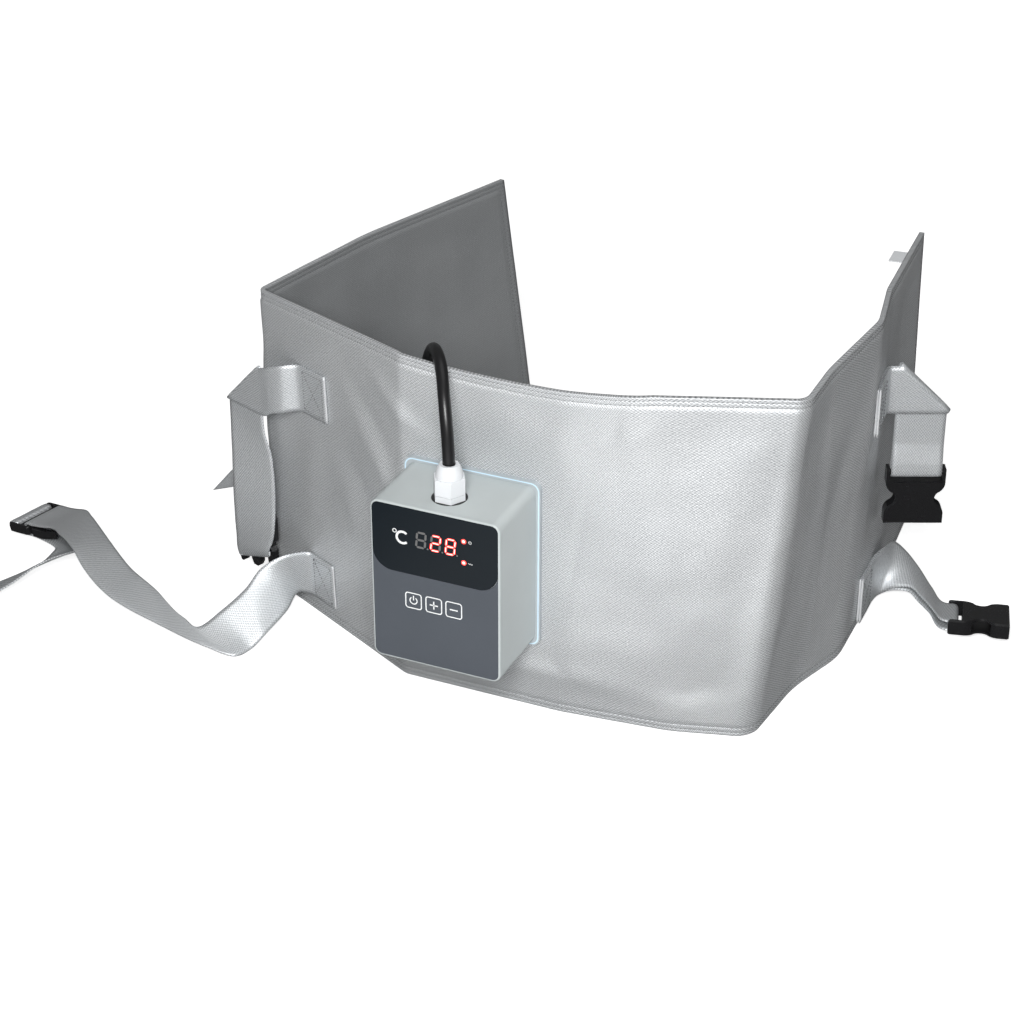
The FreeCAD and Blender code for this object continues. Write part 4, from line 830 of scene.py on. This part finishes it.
def webbing(name, rows_in, seed):
    """Webbing with rounded selvedges and pale cut ends through the given rows."""
    edges = smooth_rows(rows_in)
    parts = np.linspace(0, 1, ACROSS_POINTS)
    grid = edges[:, :1, :] * (1 - parts)[None, :, None] + edges[:, 1:, :] * parts[None, :, None]
    normal = facing(grid)
    runs = run_lengths(edges)
    along = runs[:, :1] * (1 - parts) + runs[:, 1:] * parts
    across = np.repeat(parts[None, :] * WEB_WIDTH, len(edges), axis=0)
    random = np.random.default_rng(seed)
    ripple = np.zeros_like(along)
    for wave in RIPPLES:
        phase = random.uniform(0, 2 * math.pi, 2)
        lengthwise = RIPPLE_RISE * np.sin(along * 2 * math.pi / wave + phase[0])
        ripple += lengthwise * np.cos(across * math.pi / RIPPLE_ACROSS + phase[1])
    selvedge = np.minimum(across, WEB_WIDTH - across)
    thin = WEB_THICK / 2 * (1 - SELVEDGE_THINNER * np.exp(-(selvedge / SELVEDGE_REACH) ** 2))
    front = grid + normal * (ripple + thin)[..., None]
    back = grid + normal * (ripple - thin)[..., None]
    points, faces = closed_sheet(front, back, turned=True)
    one_side = np.stack([along, across, np.zeros_like(along)], axis=2)
    lay = np.concatenate([one_side, one_side[:, ::-1]], axis=1)
    obj = piece(name, points, faces, "webbing", "webbing_silver", lay=lay)
    obj.data.materials.append(MATERIALS["cut_edge"])
    ends = np.zeros(len(faces), dtype=np.int32)
    ends[-2 * (ACROSS_POINTS - 1):] = 1
    obj.data.polygons.foreach_set("material_index", ends)
    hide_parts(name)


thread = [(THREAD_START, OVER_WALL), (NEAR_SLOT, OVER_WALL), (NEAR_SLOT, -OVER_BAR), (FAR_SLOT, -OVER_BAR),
          (FAR_SLOT, OVER_BAR)]
thread_radii = [0, WALL_RADIUS, THREAD_RADIUS, THREAD_RADIUS, THREAD_RADIUS]
patch_thread = Stitches()


def patch_stitches(place, number):
    """Box with a cross, sewn through a patch."""
    patch, along, upwards, out = sewn(place, 1, number)
    middle = patch[PATCH_ROWS // 2].mean(axis=0) + out * (WEB_THICK / 2 + STITCH_SEAT)
    a, b = along * (PATCH_LENGTH / 2 - PATCH_SEAM_INSET), upwards * (WEB_WIDTH / 2 - PATCH_SEAM_INSET)
    corners = [middle - a - b, middle + a - b, middle + a + b, middle - a + b]
    lines = [(corners[i], corners[(i + 1) % 4]) for i in range(4)]
    lines += [(corners[0], corners[2]), (corners[1], corners[3])]
    for start, end in lines:
        patch_thread.run([start, end], [out, out], step=PATCH_STITCH)


def lower_left_strap():
    origin = np.array(LOWER_LEFT_BUCKLE, dtype=float)
    along, across = heading(LOWER_LEFT_BEARING, LOWER_LEFT_PITCH), heading(LOWER_LEFT_BEARING + 90)
    over = np.cross(along, across)
    patch, _, _, _ = sewn(LOWER_LEFT_PATCH, -1, 0)
    threaded = band(thread + [(PAST_BAR, OVER_BAR), (PAST_BAR, UNDER_BAR), (THREAD_START, UNDER_BAR)],
                    thread_radii + [THREAD_RADIUS, THREAD_RADIUS, 0], origin, along, over, across)
    rows_in = patch + listed(LOWER_LEFT_ARM) + threaded + listed(LOWER_LEFT_TAIL)
    webbing("strap_lower_left", rows_in, seed=3)
    patch_stitches(LOWER_LEFT_PATCH, 0)


def upper_left_strap():
    corner, away = np.array(UPPER_LEFT_FOLD, dtype=float), heading(UPPER_LEFT_BEARING)
    out = -np.cross(away, UP)
    patch, _, _, _ = sewn(UPPER_LEFT_PATCH, -1, 0)

    def hung(run, outward, drop, tilt, turn=0):
        lift = math.radians(tilt)
        width = heading(UPPER_LEFT_BEARING + turn) * math.cos(lift) + UP * math.sin(lift)
        return row(corner + away * run + out * outward - UP * drop, -width)

    origin = corner + away * UPPER_LEFT_BUCKLE[0] + out * UPPER_LEFT_BUCKLE[1] - UP * UPPER_LEFT_BUCKLE[2]
    threaded = band(thread + [(-UPPER_LEFT_THREAD_END, OVER_BAR)], thread_radii + [0],
                    origin, -UP, out, -away)
    rows_in = patch + listed(UPPER_LEFT_ARM) + turned_down(corner, away, out, FOLD_RADIUS)
    rows_in += [hung(*place) for place in UPPER_LEFT_HANG] + threaded
    rows_in += [hung(*place) for place in UPPER_LEFT_TAIL]
    webbing("strap_upper_left", rows_in, seed=5)
    patch_stitches(UPPER_LEFT_PATCH, 0)


def upper_right_strap():
    corner, away = np.array(UPPER_RIGHT_FOLD, dtype=float), heading(UPPER_RIGHT_BEARING)
    out = np.cross(away, UP)
    spacing = WEB_THICK + WEB_GAP
    patch, along, _, face_out = sewn(UPPER_RIGHT_PATCH, 1, 0)
    middle = patch[PATCH_ROWS // 2].mean(axis=0) - face_out * (PATCH_GAP + WEB_THICK / 2)
    side = np.array([along[1], -along[0], 0])
    start = middle - along * PATCH_LENGTH / 2 + side * (PATCH_GAP + WEB_THICK / 2 - FOLD_RADIUS)
    reach = np.cross(corner - start, away)[2] / np.cross(along, away)[2]
    bend = start + along * reach
    layers = []
    for number in (0, 1):
        radius = FOLD_RADIUS + number * spacing
        plan = rounded_path([start[:2], bend[:2], corner[:2]], [0, UPPER_RIGHT_BEND, 0])
        level = corner[2] - WEB_WIDTH / 2
        rows_in = []
        for i, place in enumerate(plan):
            ahead = unit(plan[min(i + 1, len(plan) - 1)] - plan[max(i - 1, 0)])
            aside = np.array([ahead[1], -ahead[0]])
            rows_in.append(row((*(place + aside * radius), level), UP))
        layers.append(rows_in[:-1] + turned_down(corner, away, out, radius))
    hung_from = UPPER_RIGHT_DROP - WEB_WIDTH - FOLD_LEAD
    path = [(-hung_from, spacing / 2), (-HANG_SPREAD, spacing / 2), (-LOOP_LEAD, BAR_LOOP)]
    path += [(BAR_LOOP, BAR_LOOP)]
    path += [(a, -b) for a, b in reversed(path)]
    radii = [0, HANG_RADIUS, HANG_RADIUS, LOOP_RADIUS, LOOP_RADIUS, HANG_RADIUS, HANG_RADIUS, 0]
    origin = corner + away * WEB_WIDTH / 2 - out * (FOLD_RADIUS + spacing / 2) - UP * UPPER_RIGHT_DROP
    looped = band(path, radii, origin, -UP, out, -away)[1:-1]
    webbing("strap_upper_right", layers[0] + looped + layers[1][::-1], seed=11)
    patch_stitches(UPPER_RIGHT_PATCH, 1)


def lower_right_strap():
    origin = np.array(LOWER_RIGHT_BUCKLE, dtype=float)
    along = heading(LOWER_RIGHT_BEARING)
    across = heading(LOWER_RIGHT_BEARING + 90, LOWER_RIGHT_ROLL)
    over = np.cross(along, across)
    under, ahead, upwards, _ = sewn(LOWER_RIGHT_PATCH, 1, 0)
    upper, _, _, _ = sewn(LOWER_RIGHT_PATCH, 1, 1)
    path = [(LOOP_START, -BAR_LOOP), (BAR_LOOP, -BAR_LOOP), (BAR_LOOP, BAR_LOOP), (LOOP_START, BAR_LOOP)]
    looped = band(path, [0, LOOP_RADIUS, LOOP_RADIUS, 0], origin, along, over, across)
    lead_under = row(under[-1].mean(axis=0) + ahead * FREE_LEAD, upwards)
    lead_over = row(upper[-1].mean(axis=0) + ahead * FREE_LEAD, upwards)
    rows_in = under + [lead_under] + listed(LOWER_RIGHT_UNDER) + looped
    rows_in += listed(LOWER_RIGHT_OVER)[::-1] + [lead_over] + upper[::-1]
    webbing("strap_lower_right", rows_in, seed=13)
    patch_stitches(LOWER_RIGHT_PATCH, 1)


lower_left_strap()
upper_left_strap()
upper_right_strap()
lower_right_strap()
patch_thread.finish("patch_stitching", slot="webbing_silver")

# Print and lit segments on the control box
LABEL_FACE = (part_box("key_label")[0][1] - DRAWN_FROM[1]) / MM
WINDOW_FACE = (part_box("display_window")[0][1] - DRAWN_FROM[1]) / MM
PRINT_LIFT = 0.06
DIGITS_X = 0.8
DIGITS_Z = 144.4
DIGIT_PITCH = 10.2
DIGIT_SIZE = (6.0, 10.6)
DIGIT_SLANT = 0.09
SEGMENT_WIDTH = 1.5
SEGMENT_GAP = 0.28
# Ends of a digit's bars, in halves of its size from its middle
BAR_ENDS = {"a": (-1, 1, 1, 1), "b": (1, 0, 1, 1), "c": (1, -1, 1, 0), "d": (-1, -1, 1, -1),
            "e": (-1, -1, -1, 0), "f": (-1, 0, -1, 1), "g": (-1, 0, 1, 0)}
CORE_WIDTH = 0.34
CORE_LENGTH = 0.9
POINT_OFFSET = 1.6
POINT_RADIUS = 0.6
LAMP_X = 20.2
LAMP_HEIGHTS = (135.2, 150.5)
LAMP_RADIUS = 1.7
LAMP_CORE = 0.95
UNIT_X, UNIT_Z = -22.3, 143.6
UNIT_RADIUS = 4.1
UNIT_WIDTH = 1.6
DEGREE_PLACE = (UNIT_X - 5.5, UNIT_Z + 3.9)
DEGREE_RADIUS = 1.25
DEGREE_WIDTH = 0.6
LAMP_SIGN_OFFSET = 4.4
LAMP_SIGN_WIDTH = 0.3
# Small wave beside the lower lamp: where it starts, the pitch and count of its points, its rise, the angle
# from point to point and its line
HEAT_SIGN_OFFSET = 3.0
HEAT_SIGN_PITCH = 0.25
HEAT_SIGN_POINTS = 13
HEAT_SIGN_RISE = 0.35
HEAT_SIGN_ANGLE = 1.1
HEAT_SIGN_WIDTH = 0.28
KEY_PLACES = (-15.5, -1.2, 12.8)
KEY_Z = 98.7
KEY_SIZE = 11.0
KEY_CORNER = 1.7
LINE_WIDTH = 0.75
BAR_WIDTH = 0.9
# Bars of the plus and the minus: place, half length across and half length up
KEY_BARS = ((KEY_PLACES[1], 2.9, 0), (KEY_PLACES[1], 0, 2.9), (KEY_PLACES[2], 2.8, 0))


class Print:
    """Flat shapes just in front of a face of the box, drawn in x and z and gathered in one mesh."""

    def __init__(self, face):
        self.face, self.vertices, self.faces = face - PRINT_LIFT, [], []

    def shape(self, points):
        base = len(self.vertices)
        self.vertices += [(x, self.face, z) for x, z in points]
        self.faces.append(tuple(range(base, base + len(points))))

    def stroke(self, points, width, closed=False):
        """Band of one width along a path, as a strip of quads."""
        path = np.array(points, dtype=float)
        base = len(self.vertices)
        count = len(path)
        for i in range(count):
            before = path[i - 1] if closed or i > 0 else path[i]
            after = path[(i + 1) % count] if closed or i < count - 1 else path[i]
            side = unit(after - before)[::-1] * np.array([1, -1]) * width / 2
            for sign in (1, -1):
                self.vertices.append((path[i][0] + side[0] * sign, self.face, path[i][1] + side[1] * sign))
        for i in range(count if closed else count - 1):
            a, b = base + 2 * i, base + 2 * ((i + 1) % count)
            self.faces.append((a, a + 1, b + 1, b))

    def finish(self, name, finish, slot):
        return piece(name, self.vertices, self.faces, finish, slot, smooth=False)


def arc_points(centre, radius, start, end, count=24):
    angles = np.radians(np.linspace(start, end, count))
    return [(centre[0] + radius * math.cos(a), centre[1] + radius * math.sin(a)) for a in angles]


def rounded_rectangle(x, z, width, height, corner):
    half_x, half_z = width / 2 - corner, height / 2 - corner
    points = []
    for turn, (sx, sz) in enumerate(((1, 1), (-1, 1), (-1, -1), (1, -1))):
        points += arc_points((x + half_x * sx, z + half_z * sz), corner, 90 * turn, 90 * turn + 90, 7)
    return points


def segment(x, z, size, letter):
    """Outline of one bar of a seven-segment digit about its middle, with pointed ends."""
    start, end = np.array(BAR_ENDS[letter]).reshape(2, 2) * np.array(size) / 2
    way = unit(end - start)
    side = np.array([-way[1], way[0]]) * SEGMENT_WIDTH / 2
    start, end = start + way * SEGMENT_GAP, end - way * SEGMENT_GAP
    nose = way * SEGMENT_WIDTH / 2
    outline = [start, start + nose + side, end - nose + side, end, end - nose - side, start + nose - side]
    return [(x + p[0] + p[1] * DIGIT_SLANT, z + p[1]) for p in outline]


def narrowed(outline):
    """The brighter core of a lit bar: its outline drawn in about its middle."""
    points = np.array(outline)
    offsets = points - points.mean(axis=0)
    way = unit(points[3] - points[0])
    side = np.array([-way[1], way[0]])
    lengthwise = np.outer(offsets @ way, way) * CORE_LENGTH
    return points.mean(axis=0) + lengthwise + np.outer(offsets @ side, side) * CORE_WIDTH


def power_sign(sheet, x, z, radius, top, width, count):
    """Ring with a gap at its top, about x and z, and a bar through the gap."""
    sheet.stroke(arc_points((x, z), radius, 125, 415, count), width)
    sheet.stroke([(x, z + 0.2), (x, z + top)], width)


SHOWN = {"8": "abcdefg", "2": "abged"}
unlit, lit, core = Print(WINDOW_FACE), Print(WINDOW_FACE), Print(WINDOW_FACE - PRINT_LIFT)
for place, digit in enumerate("828"):
    x = DIGITS_X + (place - 1) * DIGIT_PITCH
    for letter in "abcdefg":
        outline = segment(x, DIGITS_Z, DIGIT_SIZE, letter)
        if place > 0 and letter in SHOWN[digit]:
            lit.shape(outline)
            core.shape(narrowed(outline))
        else:
            unlit.shape(outline)
    unlit.shape(arc_points((x + DIGIT_SIZE[0] / 2 + POINT_OFFSET, DIGITS_Z - DIGIT_SIZE[1] / 2),
                           POINT_RADIUS, 0, 330, 12))
for z in LAMP_HEIGHTS:
    lit.shape(arc_points((LAMP_X, z), LAMP_RADIUS, 0, 345, 24))
    core.shape(arc_points((LAMP_X, z), LAMP_CORE, 0, 345, 20))
unlit.finish("unlit_segments", "unlit", "window_black")
lit.finish("lit_segments", "lit", "lamp_red")
core.finish("lit_cores", "lit_core", "lamp_red")

signs = Print(WINDOW_FACE)
signs.stroke(arc_points((UNIT_X, UNIT_Z), UNIT_RADIUS, 46, 314, 30), UNIT_WIDTH)
signs.stroke(arc_points(DEGREE_PLACE, DEGREE_RADIUS, 0, 345, 18), DEGREE_WIDTH, closed=True)
power_sign(signs, LAMP_X + LAMP_SIGN_OFFSET, LAMP_HEIGHTS[1], radius=0.9, top=1.4, width=LAMP_SIGN_WIDTH,
           count=16)
heat_sign = []
for k in range(HEAT_SIGN_POINTS):
    swing = HEAT_SIGN_RISE * math.sin(k * HEAT_SIGN_ANGLE)
    heat_sign.append((LAMP_X + HEAT_SIGN_OFFSET + HEAT_SIGN_PITCH * k, LAMP_HEIGHTS[0] + swing))
signs.stroke(heat_sign, HEAT_SIGN_WIDTH)
signs.finish("display_signs", "print", "window_black")

keys = Print(LABEL_FACE)
for x in KEY_PLACES:
    keys.stroke(rounded_rectangle(x, KEY_Z, KEY_SIZE, KEY_SIZE, KEY_CORNER), LINE_WIDTH, closed=True)
power_sign(keys, KEY_PLACES[0], KEY_Z + 0.2, radius=2.5, top=3.6, width=LINE_WIDTH, count=26)
for x, half_x, half_z in KEY_BARS:
    keys.stroke([(x - half_x, KEY_Z - half_z), (x + half_x, KEY_Z + half_z)], BAR_WIDTH)
keys.finish("key_signs", "print", "label_slate")

# Edge of the protective film that is left on the mounting plate
FILM_INSET = 1.2
FILM_CORNER = 5.5
FILM_WIDTH = 1.0
plate_low, plate_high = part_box("mounting_plate")
plate_x, plate_z = [((plate_low[k] + plate_high[k]) / 2 - DRAWN_FROM[k]) / MM for k in (0, 2)]
plate_width, plate_height = [(plate_high[k] - plate_low[k]) / MM - 2 * FILM_INSET for k in (0, 2)]
film = Print((plate_low[1] - DRAWN_FROM[1]) / MM)
film_outline = rounded_rectangle(plate_x, plate_z, plate_width, plate_height, FILM_CORNER)
film.stroke(film_outline, FILM_WIDTH, closed=True)
film.finish("film_edge", "film", "plate_metal")


# Floor and light
# Part of the floor that the front panel mirrors: left, right, front and back edges, and how softly they end
MIRRORED = ((-200.0, 420.0), (-800.0, -60.0))
MIRRORED_EDGE = 120.0
MIRRORED_GLOW = 1.42
UNLIT_GLOW = 0.1
FLOOR_HALF = 6.0
FLOOR_DROP = 0.0004
FLOOR_WHITE = (0.86, 0.86, 0.86, 1)
# Half size of the floor that keeps the shadow, how softly it ends and how much of its own white it gives up
SHADOW_HALF = 1300.0
SHADOW_EDGE = 700.0
SHADOW_ROOM = 0.28


def soft_band(n, value, low, high, edge):
    """Factor that is 1 between two limits in millimetres and fades to 0 over the edge inside each."""
    rising = n.math("DIVIDE", n.math("SUBTRACT", value, low * MM), edge * MM, clamp=True)
    falling = n.math("DIVIDE", n.math("SUBTRACT", high * MM, value), edge * MM, clamp=True)
    return n.times(rising, falling)


def pale_floor():
    """White floor that keeps the shadow. Glossy rays see a bright patch of it in front of the belt, as from a
    reflector board, and little beside it."""
    n = Nodes("pale floor")
    path = n.add("ShaderNodeLightPath")
    diffuse = n.add("ShaderNodeBsdfDiffuse", in_Color=FLOOR_WHITE)
    glow = n.add("ShaderNodeEmission", in_Color=(1, 1, 1, 1))
    board = n.add("ShaderNodeEmission", in_Color=(1, 1, 1, 1))
    plain = n.add("ShaderNodeAddShader")
    n.link(diffuse.outputs[0], plain.inputs[0])
    n.link(glow.outputs[0], plain.inputs[1])
    place = n.add("ShaderNodeSeparateXYZ")
    n.link(n.object_place(), place.inputs[0])
    x, y, _ = place.outputs
    near = n.times(*[soft_band(n, side, -SHADOW_HALF, SHADOW_HALF, SHADOW_EDGE) for side in (x, y)])
    white = n.math("SUBTRACT", 1.0, n.times(near, SHADOW_ROOM))
    n.link(n.times(path.outputs["Is Camera Ray"], white), glow.inputs["Strength"])
    patch = n.times(*[soft_band(n, side, *limits, MIRRORED_EDGE) for side, limits in zip((x, y), MIRRORED)])
    n.link(n.plus(n.times(patch, MIRRORED_GLOW - UNLIT_GLOW), UNLIT_GLOW), board.inputs["Strength"])
    seen = n.add("ShaderNodeMixShader")
    n.link(path.outputs["Is Glossy Ray"], seen.inputs[0])
    n.link(plain.outputs[0], seen.inputs[1])
    n.link(board.outputs[0], seen.inputs[2])
    n.link(seen.outputs[0], n.output.inputs["Surface"])
    mesh = bpy.data.meshes.new("floor")
    corners = [(x * FLOOR_HALF, y * FLOOR_HALF, 0) for x, y in ((-1, -1), (1, -1), (1, 1), (-1, 1))]
    mesh.from_pydata(corners, [], [(0, 1, 2, 3)])
    mesh.materials.append(n.material)
    floor = in_scene("floor", mesh)
    floor.location = DRAWN_FROM - Vector((0, 0, FLOOR_DROP))
    return floor


def area_light(name, place, aim, size, power):
    data = bpy.data.lights.new(name, "AREA")
    data.shape = "DISK"
    data.size = size
    data.energy = power
    light = in_scene(name, data)
    light.location = at(*place)
    light.rotation_euler = (at(*aim) - at(*place)).to_track_quat("-Z", "Y").to_euler()
    return light


# Strength of the surroundings as the camera, diffuse rays and glossy rays see them
AROUND_CAMERA = 1.0
AROUND_DIFFUSE = 0.13
AROUND_GLOSSY = 0.11
world = bpy.data.worlds.new("studio")
studio = Nodes("studio", world)
path = studio.add("ShaderNodeLightPath")
glossy = studio.add("ShaderNodeMix", in_A=AROUND_DIFFUSE, in_B=AROUND_GLOSSY)
studio.link(path.outputs["Is Glossy Ray"], glossy.inputs["Factor"])
around = studio.add("ShaderNodeMix", in_B=AROUND_CAMERA)
studio.link(glossy.outputs["Result"], around.inputs["A"])
studio.link(path.outputs["Is Camera Ray"], around.inputs["Factor"])
background = studio.add("ShaderNodeBackground", in_Color=(1, 1, 1, 1))
studio.link(around.outputs["Result"], background.inputs["Strength"])
studio.link(background.outputs[0], studio.output.inputs["Surface"])
bpy.context.scene.world = world
pale_floor()
area_light("key", (470, -1180, 1010), (20, 40, 110), 0.55, 26.0)
area_light("top", (0, 250, 1300), (0, 120, 100), 1.1, 2.0)
